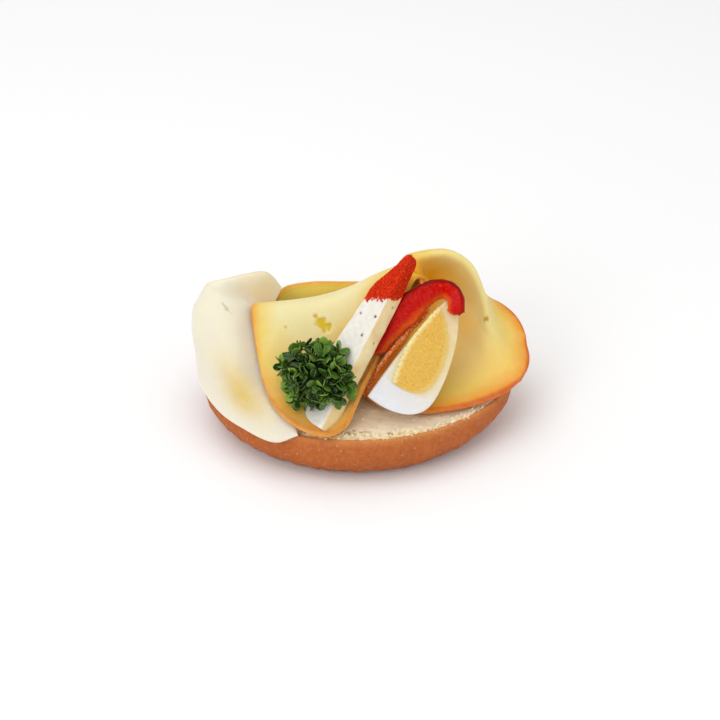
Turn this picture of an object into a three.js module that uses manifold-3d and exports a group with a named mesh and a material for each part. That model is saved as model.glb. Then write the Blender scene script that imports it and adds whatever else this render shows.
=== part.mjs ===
import * as THREE from "three";
import { mergeVertices } from "three/addons/utils/BufferGeometryUtils.js";
import Module from "manifold-3d";

// Open sandwich on half a roll. Millimetres, +Z up, origin at the middle of the roll's flat base.

const gap = 0.3;

const roll = { halfLength: 59.2, shift: -0.9, halfWidth: 42, height: 19, wobble: 0.0075, segments: 54 };
const butterSpread = { thickness: 0.8, sideInset: 1.2, frontInset: 2.6 };
const sliceThickness = 1.9;
const mildThickness = 2.2;

const camembert = { length: 73.6, baseWidth: 16.6, shoulder: 10.4, thickness: 8, tipRadius: 2.1 };
const wedgeEnds = { heelRound: 10.5, taper: 20, nose: 4.2, tipThickness: 0.62, noseDepth: 0.55 };
const wedgeRings = 20;
const wedgeCorners = 14;
const wedgeSquareness = 0.3;
const egg = { length: 50.5, radius: 20.4, widest: 0.26, blunt: 2.2, fine: 1.5, sector: 62 };
const yolk = { start: 9.8, length: 33, radius: 16.2, widest: 0.32, blunt: 3, fine: 1.6 };
const eggPrism = { reach: 40, depth: 80, start: -10, bulge: 1.2 };
const eggStations = 16;
const eggSegments = 40;
const yolkSegments = 44;
const pepper = { thickness: 4.4, startWidth: 9.6, midWidth: 11.4, endWidth: 6.8 };
const pepperEnds = { widestAt: 0.4, narrowing: 0.45, startRound: 0.12, startShare: 0.25, squareness: 0.6 };
const pepperStations = 18;
const pepperCorners = 10;
const cress = { halfWidth: 15.4, halfHeight: 13.8, halfDepth: 10.5, bump: 0.043, detail: 5 };

// Directions square to the slope that the toppings lie on.
const slopeOut = new THREE.Vector3(0, -0.788, 0.616);
const slopeUp = new THREE.Vector3(0, 0.616, 0.788);

const wasm = await Module();
wasm.setup();

function vector(values) {
  return new THREE.Vector3(values[0], values[1], values[2]);
}

function mix(a, b, t) {
  return a + (b - a) * t;
}

function smooth(t) {
  const c = Math.min(Math.max(t, 0), 1);
  return c * c * (3 - 2 * c);
}

function solidOf(geometry) {
  const clean = geometry.clone();
  clean.deleteAttribute("normal");
  clean.deleteAttribute("uv");
  const merged = mergeVertices(clean, 1e-4);
  const vertProperties = new Float32Array(merged.attributes.position.array);
  const triVerts = new Uint32Array(merged.index.array);
  return new wasm.Manifold(new wasm.Mesh({ numProp: 3, vertProperties, triVerts }));
}

function geometryOf(solid) {
  const mesh = solid.getMesh();
  const geometry = new THREE.BufferGeometry();
  geometry.setAttribute("position", new THREE.BufferAttribute(new Float32Array(mesh.vertProperties), 3));
  geometry.setIndex(new THREE.BufferAttribute(new Uint32Array(mesh.triVerts), 1));
  return geometry;
}

function largestPart(solid) {
  const parts = solid.decompose();
  parts.sort((a, b) => b.volume() - a.volume());
  return parts[0];
}

// A row is a smooth curve through a few stations along a slice.
function row(stations) {
  const curve = new THREE.CatmullRomCurve3(stations.map(vector), false, "centripetal");
  return (u) => curve.getPoint(u);
}

// A slice surface: rows run along the fold, and each section across them is one smooth curve.
function sliceSurface(rows) {
  return (u, v) => {
    const section = new THREE.CatmullRomCurve3(rows.map((r) => r(u)), false, "centripetal");
    return section.getPoint(v);
  };
}

function sheetGeometry(surface, countU, countV, thickness, extra = 0) {
  const step = 0.004;
  const half = thickness / 2 + extra;
  const positions = [];
  const faces = [];
  const top = (i, j) => i * (countV + 1) + j;
  const layer = (countU + 1) * (countV + 1);
  for (const side of [1, -1]) {
    for (let i = 0; i <= countU; i += 1) {
      for (let j = 0; j <= countV; j += 1) {
        const u = i / countU;
        const v = j / countV;
        const here = surface(u, v);
        const alongU = surface(Math.min(u + step, 1), v).sub(surface(Math.max(u - step, 0), v));
        const alongV = surface(u, Math.min(v + step, 1)).sub(surface(u, Math.max(v - step, 0)));
        const normal = alongU.clone().cross(alongV).normalize();
        here.addScaledVector(normal, side * half);
        if (i === 0 || i === countU) here.addScaledVector(alongU.normalize(), i === 0 ? -extra : extra);
        if (j === 0 || j === countV) here.addScaledVector(alongV.normalize(), j === 0 ? -extra : extra);
        positions.push(here.x, here.y, here.z);
      }
    }
  }
  for (let i = 0; i < countU; i += 1) {
    for (let j = 0; j < countV; j += 1) {
      const a = top(i, j);
      const b = top(i + 1, j);
      const c = top(i + 1, j + 1);
      const d = top(i, j + 1);
      faces.push(a, b, c, a, c, d);
      faces.push(layer + a, layer + c, layer + b, layer + a, layer + d, layer + c);
    }
  }
  const rim = [];
  for (let i = 0; i < countU; i += 1) rim.push(top(i, 0));
  for (let j = 0; j < countV; j += 1) rim.push(top(countU, j));
  for (let i = countU; i > 0; i -= 1) rim.push(top(i, countV));
  for (let j = countV; j > 0; j -= 1) rim.push(top(0, j));
  rim.forEach((here, k) => {
    const next = rim[(k + 1) % rim.length];
    faces.push(here, layer + here, layer + next, here, layer + next, next);
  });
  const geometry = new THREE.BufferGeometry();
  geometry.setAttribute("position", new THREE.Float32BufferAttribute(positions, 3));
  geometry.setIndex(faces);
  return geometry;
}

// Rings stacked on top of each other and closed by a centre point at both ends.
function ringGeometry(rings) {
  const count = rings[0].length;
  const positions = [];
  const faces = [];
  rings.forEach((ring) => ring.forEach((p) => positions.push(p.x, p.y, p.z)));
  for (let k = 0; k < rings.length - 1; k += 1) {
    for (let i = 0; i < count; i += 1) {
      const a = k * count + i;
      const b = k * count + ((i + 1) % count);
      faces.push(a, b, b + count, a, b + count, a + count);
    }
  }
  [0, rings.length - 1].forEach((k) => {
    const centre = new THREE.Vector3();
    rings[k].forEach((p) => centre.add(p));
    centre.divideScalar(count);
    const tip = positions.length / 3;
    positions.push(centre.x, centre.y, centre.z);
    for (let i = 0; i < count; i += 1) {
      const a = k * count + i;
      const b = k * count + ((i + 1) % count);
      if (k === 0) faces.push(b, a, tip);
      else faces.push(a, b, tip);
    }
  });
  const geometry = new THREE.BufferGeometry();
  geometry.setAttribute("position", new THREE.Float32BufferAttribute(positions, 3));
  geometry.setIndex(faces);
  return geometry;
}

function ellipseRing(halfX, halfY, z, wobble = 0) {
  const points = [];
  for (let i = 0; i < roll.segments; i += 1) {
    const angle = (i / roll.segments) * Math.PI * 2;
    const swell = 1 + wobble * (Math.sin(3 * angle + 0.6) + 0.6 * Math.sin(5 * angle + 2.1));
    const x = roll.shift + halfX * swell * Math.cos(angle);
    points.push(new THREE.Vector3(x, halfY * swell * Math.sin(angle), z));
  }
  return points;
}

// The crust swells out at the front and back, and hardly at the ends.
const rollProfile = [
  { z: 0, x: -15.5, y: -8.6 },
  { z: 0.9, x: -11.5, y: -4.8 },
  { z: 3, x: -7.4, y: -1.7 },
  { z: 5.5, x: -4.6, y: 0.5 },
  { z: 9, x: -1.6, y: 1.9 },
  { z: 12.5, x: 0.2, y: 2.0 },
  { z: 16, x: 0.2, y: 1.1 },
  { z: roll.height - 0.5, x: -0.1, y: 0.1 },
  { z: roll.height, x: -0.8, y: -0.8 },
];

function buildRoll(extra = 0) {
  const rings = rollProfile.map((p, k) => {
    const lift = k === rollProfile.length - 1 ? extra : 0;
    const halfX = roll.halfLength + p.x + extra;
    const halfY = roll.halfWidth + p.y + extra;
    return ellipseRing(halfX, halfY, p.z + lift, roll.wobble);
  });
  return ringGeometry(rings);
}

function buildButter(extra = 0) {
  const low = roll.height + gap;
  const high = low + butterSpread.thickness + extra;
  const halfX = roll.halfLength - butterSpread.sideInset + extra;
  const halfY = roll.halfWidth - butterSpread.frontInset + extra;
  return ringGeometry([
    ellipseRing(halfX, halfY, low),
    ellipseRing(halfX, halfY, mix(low, high, 0.5)),
    ellipseRing(halfX - 0.6, halfY - 0.6, high),
  ]);
}

// Smoked slice folded over in front: rows from the front rim, over the fold, to the hidden back rim.
const leftSlice = sliceSurface([
  row([[-35.8, -21.4, 31.6], [-33.2, -28.6, 27.6], [-28.4, -35.4, 25.2], [-22.4, -40.0, 23.6],
    [-15.0, -42.6, 22.4], [-9.8, -42.4, 22.0], [-5.9, -39.6, 22.4], [-3.3, -36.6, 26.0]]),
  row([[-37.8, -14.4, 36.0], [-33, -20, 33.0], [-26.5, -25.5, 29.6], [-19.5, -28.5, 26.6],
    [-12.5, -29, 24.6], [-7.5, -29, 24.4], [-1.8, -29.4, 28.0], [2.0, -25.9, 32.3]]),
  row([[-40.0, -4.2, 42.4], [-33.6, -5.8, 42.0], [-26.0, -6.8, 40.2], [-18, -7.5, 37.4],
    [-10, -8, 34.6], [-1, -8, 35.0], [5.4, -7.4, 36.5], [11.6, -3.2, 38.5]]),
  row([[-40.8, 3.0, 47.0], [-33.7, 4.6, 46.4], [-24.0, 6.0, 46.4], [-14, 7.4, 47.0],
    [-4, 9.0, 50.2], [5.5, 10.8, 54.9], [13.6, 12.4, 57.6], [21.6, 11.2, 54.2]]),
  row([[-39.8, 7.0, 45.4], [-32.6, 9.8, 43.8], [-23.5, 13, 42.6], [-13, 16, 42.2],
    [-3, 18, 44.0], [7, 19, 47.0], [17, 19, 50.2], [24.2, 13.6, 53.9]]),
  row([[-38.8, 9.6, 44.0], [-31.0, 14.4, 37.0], [-21.8, 21, 26.0], [-12, 24, 22.0],
    [-2, 26, 22.0], [8, 27, 22.6], [18, 26.5, 30.0], [28.0, 17.4, 48.4]]),
]);

// Smoked slice standing up as a hood behind the egg, with its tongue under the egg.
const hoodSlice = sliceSurface([
  row([[1.0, -18.6, 22.4], [8.0, -25.0, 21.8], [18.5, -28.4, 21.8], [30.5, -28.2, 21.8],
    [42.5, -24.8, 21.9], [52.0, -20.0, 22.2], [57.4, -16.2, 22.9], [61.6, -11.8, 24.2]]),
  row([[6.7, -16.3, 33.3], [13.5, -13.0, 24.6], [22.0, -13.5, 22.4], [32.5, -14.5, 22.4],
    [42.5, -14.0, 23.4], [50.0, -12.0, 24.4], [57.4, -10.8, 25.0], [63.8, -8.0, 24.8]]),
  row([[17.4, -8.0, 43.0], [21.5, 8.0, 29.0], [28.5, 11.0, 27.0], [37.0, 7.0, 27.5],
    [43.5, 1.0, 28.6], [49.5, -3.5, 29.0], [57.2, -6.2, 27.2], [64.9, -4.6, 25.4]]),
  row([[26.4, 2.0, 48.4], [24.5, 23.5, 45.0], [31.4, 23.6, 46.4], [39.2, 19.0, 44.6],
    [45.2, 8.5, 38.5], [49.6, 1.0, 33.6], [57.2, -2.0, 28.8], [65.3, -1.4, 26.0]]),
  row([[17.6, 22.4, 55.0], [24.5, 20.6, 58.6], [33.9, 19.0, 60.8], [42.0, 17.0, 56.6],
    [47.6, 10.6, 47.0], [50.6, 3.4, 37.0], [57.4, 2.0, 30.0], [65.2, 1.6, 26.7]]),
  row([[18.0, 29.0, 51.5], [24.5, 28.8, 54.0], [33.8, 27.0, 55.0], [42.0, 24.6, 50.6],
    [47.4, 19.4, 41.6], [53.6, 10.6, 35.6], [59.4, 7.2, 31.2], [64.6, 4.8, 27.8]]),
  row([[15.0, 37.5, 22.5], [23.0, 38.4, 22.5], [34.0, 37.6, 23.0], [44.5, 33.0, 25.5],
    [52.4, 25.2, 34.0], [58.8, 18.8, 33.8], [62.4, 13.6, 32.2], [64.4, 8.2, 29.4]]),
]);

// Plain mild slice over the left end: rows from the rim draped on the crust, over a bulge and a hollow,
// up to the fold behind and down to the bread again.
const mildSlice = sliceSurface([
  row([[-22.5, -40.4, 20.7], [-31.0, -39.4, 16.2], [-44.0, -31.6, 17.0], [-53.6, -21.6, 17.6],
    [-60.0, -10.0, 20.0], [-61.6, -1.0, 21.6]]),
  row([[-23.5, -35.0, 21.4], [-32.0, -32.6, 22.4], [-42.4, -26.6, 22.8], [-51.4, -18.4, 23.6],
    [-59.0, -8.0, 25.6], [-62.0, 2.0, 26.5]]),
  row([[-30.0, -19.0, 26.0], [-38.0, -19.0, 29.4], [-46.0, -16.6, 34.0], [-54.0, -11.0, 36.6],
    [-61.4, -3.0, 37.6], [-63.0, 6.0, 36.0]]),
  row([[-34.5, -4.5, 35.5], [-41.2, -4.0, 39.6], [-47.6, -3.6, 45.2], [-54.2, -1.4, 47.2],
    [-60.4, 2.6, 46.6], [-62.2, 9.5, 43.0]]),
  row([[-35.5, 4.0, 40.0], [-39.8, 4.4, 42.4], [-46.0, 4.2, 47.4], [-53.0, 5.0, 50.6],
    [-58.8, 7.6, 49.6], [-60.6, 12.0, 44.5]]),
  row([[-33.4, 13.0, 39.6], [-38.6, 11.8, 42.4], [-45.4, 10.4, 46.4], [-52.0, 9.4, 50.6],
    [-57.6, 10.4, 50.4], [-59.6, 14.5, 45.0]]),
  row([[-30.4, 20.0, 43.2], [-35.8, 18.8, 50.8], [-43.6, 16.4, 51.8], [-51.0, 13.2, 52.2],
    [-56.8, 12.8, 50.8], [-58.6, 17.0, 45.0]]),
  row([[-31.8, 24.0, 38.6], [-37.0, 23.0, 43.4], [-45.0, 20.4, 43.0], [-52.0, 17.4, 42.0],
    [-57.0, 16.6, 39.6], [-58.2, 18.6, 35.0]]),
  row([[-33.4, 29.4, 21.8], [-39.0, 27.4, 21.6], [-46.0, 23.4, 21.6], [-52.0, 18.4, 21.6],
    [-56.4, 13.6, 21.6], [-58.6, 9.0, 21.6]]),
]);

// Smoked slice behind the fold, doubled on itself with both rims up.
const backSlice = sliceSurface([
  row([[-33.6, 26.0, 31.0], [-29.8, 26.4, 39.2], [-18.5, 27.4, 41.4], [-8.0, 28.6, 40.8],
    [4.0, 29.6, 39.8]]),
  row([[-33.0, 26.8, 27.8], [-24.5, 27.6, 30.6], [-15.5, 28.6, 31.5], [-6.0, 29.8, 31.5],
    [5.0, 30.8, 31.0]]),
  row([[-29.5, 30.2, 22.4], [-22.5, 30.6, 22.0], [-14.0, 31.4, 22.0], [-5.0, 32.2, 22.0],
    [6.0, 32.6, 22.0]]),
  row([[-28.5, 33.6, 25.0], [-21.5, 34.6, 25.6], [-13.0, 35.2, 25.6], [-4.5, 35.4, 25.6],
    [6.0, 35.0, 25.0]]),
  row([[-28.0, 35.0, 27.4], [-21.0, 36.6, 31.0], [-13.0, 37.2, 32.0], [-4.5, 37.4, 31.6],
    [6.0, 36.4, 29.6]]),
]);

// A wedge of a small flat cheese, lying up the slope of the folded slice.
const camembertTip = new THREE.Vector3(18.8, 4.2, 70.2);
const camembertHeel = new THREE.Vector3(-14.0, -42.6, 25.8);
const camembertTurn = 40;

function camembertFrame() {
  const along = camembertTip.clone().sub(camembertHeel).normalize();
  const facing = slopeOut.clone();
  facing.addScaledVector(along, -facing.dot(along)).normalize();
  const side = facing.clone().cross(along);
  const turn = THREE.MathUtils.degToRad(camembertTurn);
  const normal = facing.multiplyScalar(Math.cos(turn)).addScaledVector(side, Math.sin(turn)).normalize();
  const across = normal.clone().cross(along).normalize();
  return { along, across, normal };
}

// Breadth and depth of the wedge at a distance x from its heel: the sides draw together to a round tip.
function wedgeSection(x) {
  const { length, baseWidth, shoulder, thickness, tipRadius } = camembert;
  const { heelRound, taper, nose, tipThickness, noseDepth } = wedgeEnds;
  const taperStart = length - taper;
  const fromHeel = Math.min(x / heelRound, 1);
  const heelCurve = Math.sqrt(Math.max(1 - Math.pow(1 - fromHeel, 2), 0.004));
  const sideRun = mix(baseWidth, shoulder, Math.max((x - heelRound) / (taperStart - heelRound), 0));
  const tipRun = mix(shoulder, 2 * tipRadius, smooth((x - taperStart) / (taper - 1)));
  const width = (x < taperStart ? sideRun : tipRun) * heelCurve;
  const closing = Math.max(x - (length - nose), 0) / nose;
  const round = Math.sqrt(Math.max(1 - closing * closing, 0.01));
  const thinning = mix(1, tipThickness, smooth((x - taperStart) / taper));
  const depth = thickness * thinning * mix(noseDepth, 1, round);
  return { width, round, depth };
}

function buildCamembert(extra = 0) {
  const { along, across, normal } = camembertFrame();
  const { length, thickness } = camembert;
  const rings = [];
  for (let k = 0; k <= wedgeRings; k += 1) {
    const even = k / wedgeRings;
    const beyond = k === 0 ? -extra : k === wedgeRings ? extra : 0;
    const x = length * (1 - Math.pow(1 - even, 1.5)) + beyond;
    const { width, round, depth } = wedgeSection(Math.min(Math.max(x, 0), length));
    const halfWidth = (width * round) / 2 + extra;
    const halfDepth = depth / 2 + extra;
    const middle = width / 2;
    const ring = [];
    for (let i = 0; i < wedgeCorners; i += 1) {
      const angle = ((i + 0.5) / wedgeCorners) * Math.PI * 2;
      const c = Math.sign(Math.cos(angle)) * Math.pow(Math.abs(Math.cos(angle)), wedgeSquareness);
      const s = Math.sign(Math.sin(angle)) * Math.pow(Math.abs(Math.sin(angle)), wedgeSquareness);
      const p = camembertHeel.clone().addScaledVector(along, x);
      p.addScaledVector(across, middle + c * halfWidth);
      p.addScaledVector(normal, s * halfDepth - thickness / 2);
      ring.push(p);
    }
    rings.push(ring);
  }
  return ringGeometry(rings);
}

// Egg axes: length of the egg, the direction across the cut face, and the direction behind it.
const eggHeel = new THREE.Vector3(3.2, -30.2, 31.0);
const eggPoint = new THREE.Vector3(33.6, -3.4, 57.2);

function eggFrame() {
  const along = eggPoint.clone().sub(eggHeel).normalize();
  const across = new THREE.Vector3(0.772, -0.391, -0.501);
  across.addScaledVector(along, -across.dot(along)).normalize();
  const behind = along.clone().cross(across).normalize();
  if (behind.y < 0) behind.negate();
  return { along, across, behind };
}

// Radius of an oval blunt at its start and finer at its end, t running from one to the other.
function ovalRadius(t, oval, extra = 0) {
  const end = t < oval.widest ? oval.widest : 1 - oval.widest;
  const reach = Math.abs(t - oval.widest) / end;
  const power = t < oval.widest ? oval.blunt : oval.fine;
  return (oval.radius + extra) * Math.pow(Math.max(1 - Math.pow(reach, power), 0), 1 / power);
}

function bodyOfTurning(radiusAt, start, end, stations, segments) {
  const rings = [];
  for (let k = 1; k < stations; k += 1) {
    const t = 0.5 - 0.5 * Math.cos((Math.PI * k) / stations);
    const ring = [];
    for (let i = 0; i < segments; i += 1) {
      const angle = (i / segments) * Math.PI * 2;
      const r = radiusAt(t);
      ring.push(new THREE.Vector3(mix(start, end, t), r * Math.cos(angle), r * Math.sin(angle)));
    }
    rings.push(ring);
  }
  return ringGeometry(rings);
}

function sectorPrism() {
  const { reach, depth, start, bulge } = eggPrism;
  const shape = new THREE.Shape();
  const angle = THREE.MathUtils.degToRad(egg.sector);
  shape.moveTo(0, 0);
  shape.lineTo(reach, 0);
  shape.lineTo(reach * Math.cos(angle / 2) * bulge, reach * Math.sin(angle / 2) * bulge);
  shape.lineTo(reach * Math.cos(angle), reach * Math.sin(angle));
  shape.closePath();
  const geometry = new THREE.ExtrudeGeometry(shape, { depth, bevelEnabled: false });
  geometry.translate(0, 0, start);
  return geometry;
}

function placeEgg(geometry) {
  const { along, across, behind } = eggFrame();
  const place = new THREE.Matrix4().makeBasis(along, across, behind);
  place.setPosition(eggHeel);
  return geometry.applyMatrix4(place);
}

function sectorSolid(extra = 0) {
  const prism = sectorPrism();
  prism.applyMatrix4(new THREE.Matrix4().set(0, 0, 1, 0, 1, 0, 0, -extra, 0, 1, 0, -extra, 0, 0, 0, 1));
  return solidOf(prism);
}

function yolkBody(extra) {
  const radiusAt = (t) => ovalRadius(t, yolk, extra);
  const end = yolk.start + yolk.length + extra;
  return solidOf(bodyOfTurning(radiusAt, yolk.start - extra, end, eggStations, yolkSegments));
}

function buildEgg() {
  const radiusAt = (t) => ovalRadius(t, egg);
  const whole = solidOf(bodyOfTurning(radiusAt, 0, egg.length, eggStations, eggSegments));
  const sector = sectorSolid();
  const white = largestPart(whole.intersect(sector).subtract(yolkBody(0.25)));
  const centre = yolkBody(0).intersect(sector);
  return { white: placeEgg(geometryOf(white)), yolk: placeEgg(geometryOf(centre)) };
}

function eggShell(extra) {
  const size = 1 + extra / 15;
  const radiusAt = (t) => ovalRadius(t, egg) * size;
  const body = bodyOfTurning(radiusAt, -extra, egg.length + extra, eggStations, eggSegments);
  return solidOf(placeEgg(geometryOf(solidOf(body).intersect(sectorSolid(extra)))));
}

// Strip of pepper standing on edge, bent over at its upper end.
const pepperPath = [[2.4, -11.6, 35.2], [10.7, -6.4, 44.1], [16.7, -3.4, 49.4], [22.8, 0.6, 53.1],
  [28.7, 2.2, 55.9], [33.4, -0.5, 58.1], [36.1, -5.4, 57.6], [36.0, -9.7, 53.4]];

function buildPepper(extra = 0) {
  const path = new THREE.CatmullRomCurve3(pepperPath.map(vector), false, "centripetal");
  const { widestAt, narrowing, startRound, startShare, squareness } = pepperEnds;
  const rings = [];
  for (let k = 0; k <= pepperStations; k += 1) {
    const u = k / pepperStations;
    const tangent = path.getTangentAt(u);
    const facing = new THREE.Vector3(-0.15, -0.8, 0.58);
    facing.addScaledVector(tangent, -facing.dot(tangent)).normalize();
    const upward = facing.clone().cross(tangent).normalize();
    const width = u < widestAt ? mix(pepper.startWidth, pepper.midWidth, u / widestAt)
      : mix(pepper.midWidth, pepper.endWidth, smooth((u - widestAt) / narrowing));
    const taper = mix(startShare, 1, smooth(u / startRound));
    const centre = path.getPointAt(u);
    const ring = [];
    for (let i = 0; i < pepperCorners; i += 1) {
      const angle = ((i + 0.5) / pepperCorners) * Math.PI * 2;
      const c = Math.sign(Math.cos(angle)) * Math.pow(Math.abs(Math.cos(angle)), squareness);
      const s = Math.sign(Math.sin(angle)) * Math.pow(Math.abs(Math.sin(angle)), squareness);
      const p = centre.clone();
      p.addScaledVector(upward, c * ((width * taper) / 2 + extra));
      p.addScaledVector(facing, s * (pepper.thickness / 2 + extra));
      ring.push(p);
    }
    rings.push(ring);
  }
  return ringGeometry(rings);
}

// Bunch of cress leaves as one rounded heap out to its uneven outline.
const cressCentre = new THREE.Vector3(-15.4, -27.6, 38.7);

function buildCress() {
  const geometry = new THREE.IcosahedronGeometry(1, cress.detail);
  geometry.deleteAttribute("normal");
  geometry.deleteAttribute("uv");
  const merged = mergeVertices(geometry, 1e-4);
  const across = new THREE.Vector3(1, 0, 0);
  const position = merged.attributes.position;
  for (let i = 0; i < position.count; i += 1) {
    const d = new THREE.Vector3().fromBufferAttribute(position, i).normalize();
    const ripple = Math.sin(7 * d.x + 1.3) * Math.sin(6.5 * d.y + 0.4) + Math.sin(8 * d.z + 5 * d.x);
    const swell = 1 + cress.bump * ripple;
    const p = cressCentre.clone();
    p.addScaledVector(across, d.x * cress.halfWidth * swell);
    p.addScaledVector(slopeUp, d.y * cress.halfHeight * swell);
    p.addScaledVector(slopeOut, d.z * cress.halfDepth * swell);
    position.setXYZ(i, p.x, p.y, p.z);
  }
  return merged;
}

// Each piece in the order it was laid on; a later piece gives way to the ones already there.
const eggHalves = buildEgg();
const laid = [
  ["roll_half", (extra) => solidOf(buildRoll(extra))],
  ["butter", (extra) => solidOf(buildButter(extra))],
  ["mild_cheese", (extra) => solidOf(sheetGeometry(mildSlice, 14, 20, mildThickness, extra))],
  ["smoked_cheese_left", (extra) => solidOf(sheetGeometry(leftSlice, 21, 14, sliceThickness, extra))],
  ["smoked_cheese_right", (extra) => solidOf(sheetGeometry(hoodSlice, 22, 16, sliceThickness, extra))],
  ["smoked_cheese_back", (extra) => solidOf(sheetGeometry(backSlice, 10, 12, sliceThickness, extra))],
  ["camembert_wedge", (extra) => solidOf(buildCamembert(extra))],
  ["egg_white", (extra) => (extra > 0 ? eggShell(extra) : solidOf(eggHalves.white))],
  ["egg_yolk", () => solidOf(eggHalves.yolk)],
  ["pepper_strip", (extra) => solidOf(buildPepper(extra))],
  ["cress_bunch", () => solidOf(buildCress())],
];
const givesWayTo = {
  mild_cheese: ["roll_half", "butter"],
  smoked_cheese_left: ["roll_half", "butter", "mild_cheese"],
  smoked_cheese_right: ["roll_half", "butter", "smoked_cheese_left"],
  smoked_cheese_back: ["roll_half", "butter", "mild_cheese", "smoked_cheese_left", "smoked_cheese_right"],
  camembert_wedge: ["smoked_cheese_left", "smoked_cheese_right"],
  egg_white: ["smoked_cheese_right", "camembert_wedge"],
  egg_yolk: ["smoked_cheese_right"],
  pepper_strip: ["smoked_cheese_left", "smoked_cheese_right", "camembert_wedge", "egg_white"],
  cress_bunch: ["mild_cheese", "smoked_cheese_left", "camembert_wedge"],
};
const grown = {};
const solids = {};
for (const [name, build] of laid) {
  let solid = build(0);
  for (const other of givesWayTo[name] ?? []) {
    solid = solid.subtract(grown[other]).subtract(solids[other]);
  }
  solids[name] = largestPart(solid);
  grown[name] = build(gap);
}

const looks = {
  roll_half: { color: "#b4683a", roughness: 0.6 },
  butter: { color: "#ead0a8", roughness: 0.5 },
  mild_cheese: { color: "#ece3c8", roughness: 0.42 },
  smoked_cheese_left: { color: "#e8c878", roughness: 0.4 },
  smoked_cheese_right: { color: "#e4c570", roughness: 0.4 },
  smoked_cheese_back: { color: "#e6c468", roughness: 0.4 },
  camembert_wedge: { color: "#eeebe0", roughness: 0.6 },
  egg_white: { color: "#eae2d6", roughness: 0.32 },
  egg_yolk: { color: "#e2b34c", roughness: 0.6 },
  pepper_strip: { color: "#bc1a0c", roughness: 0.3 },
  cress_bunch: { color: "#3b5420", roughness: 0.5 },
};

const object = new THREE.Group();
object.name = "open_sandwich";
for (const [name, solid] of Object.entries(solids)) {
  const material = new THREE.MeshStandardMaterial({ ...looks[name], metalness: 0 });
  const mesh = new THREE.Mesh(geometryOf(solid), material);
  mesh.name = name;
  object.add(mesh);
}

export default object;
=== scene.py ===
# Open sandwich: half a roll, buttered, with sliced cheese, a cheese wedge, egg, pepper and cress.
import math
import bmesh
import bpy
import numpy as np
from mathutils import Euler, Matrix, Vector


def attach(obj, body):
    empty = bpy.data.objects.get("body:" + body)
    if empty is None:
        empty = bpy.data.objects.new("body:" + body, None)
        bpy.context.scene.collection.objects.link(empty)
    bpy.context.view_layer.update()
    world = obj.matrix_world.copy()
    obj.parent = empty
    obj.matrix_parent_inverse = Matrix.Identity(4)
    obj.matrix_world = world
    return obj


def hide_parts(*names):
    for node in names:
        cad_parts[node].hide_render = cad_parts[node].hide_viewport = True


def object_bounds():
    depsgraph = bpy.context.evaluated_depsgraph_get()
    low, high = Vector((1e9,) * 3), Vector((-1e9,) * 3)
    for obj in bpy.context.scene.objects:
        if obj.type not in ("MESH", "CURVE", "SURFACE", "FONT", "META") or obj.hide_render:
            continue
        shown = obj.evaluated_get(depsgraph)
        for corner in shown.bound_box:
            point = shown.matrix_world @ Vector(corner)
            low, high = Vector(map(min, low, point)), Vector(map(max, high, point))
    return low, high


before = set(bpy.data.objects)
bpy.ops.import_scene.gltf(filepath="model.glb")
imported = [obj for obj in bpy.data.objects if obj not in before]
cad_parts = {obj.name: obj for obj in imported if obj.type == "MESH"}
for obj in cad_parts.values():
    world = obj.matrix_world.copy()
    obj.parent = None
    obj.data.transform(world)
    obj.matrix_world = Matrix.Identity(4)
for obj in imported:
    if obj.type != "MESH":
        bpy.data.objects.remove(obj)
cadLow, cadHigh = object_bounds()
print("frame loaded")

mm = 0.001   # shapes are worked out in millimetres
nodeBody = "root"


# small tools for shapes

def unitVector(values):
    values = np.asarray(values, float)
    return values / np.maximum(np.linalg.norm(values, axis=-1, keepdims=True), 1e-12)


def smoothStep(low, high, value):
    t = np.clip((value - low) / (high - low), 0, 1)
    return t * t * (3 - 2 * t)


def curveThrough(stations, places):
    # smooth curve through stations, read at places from 0 to 1; the ends run on straight
    stations = np.asarray(stations, float)
    count = len(stations)
    first = 2 * stations[0] - stations[1]
    last = 2 * stations[-1] - stations[-2]
    points = np.concatenate([first[None], stations, last[None]])
    reach = np.clip(places, 0, 1) * (count - 1)
    index = np.minimum(reach.astype(int), count - 2)
    w = (reach - index).reshape((-1,) + (1,) * (stations.ndim - 1))
    p0, p1, p2, p3 = (points[index + k] for k in range(4))

    def chord(a, b):
        return np.maximum(np.sqrt(np.linalg.norm(b - a, axis=-1, keepdims=True)), 1e-6)

    d0, d1, d2 = chord(p0, p1), chord(p1, p2), chord(p2, p3)
    start = ((p1 - p0) / d0 - (p2 - p0) / (d0 + d1) + (p2 - p1) / d1) * d1
    end = ((p2 - p1) / d1 - (p3 - p1) / (d1 + d2) + (p3 - p2) / d2) * d1
    return (p1 + start * w + (-3 * p1 + 3 * p2 - 2 * start - end) * w ** 2
            + (2 * p1 - 2 * p2 + start + end) * w ** 3)


def waves(points, length, seed, count=14):
    # gentle unevenness from about -1 to 1, as a sum of waves of about one length
    rng = np.random.default_rng(seed)
    total = np.zeros(points.shape[:-1])
    for _ in range(count):
        direction = unitVector(rng.normal(size=3)) * (2 * math.pi / (length * rng.uniform(0.7, 1.5)))
        total += np.cos(points @ direction + rng.uniform(0, 2 * math.pi))
    return total / math.sqrt(count)


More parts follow.
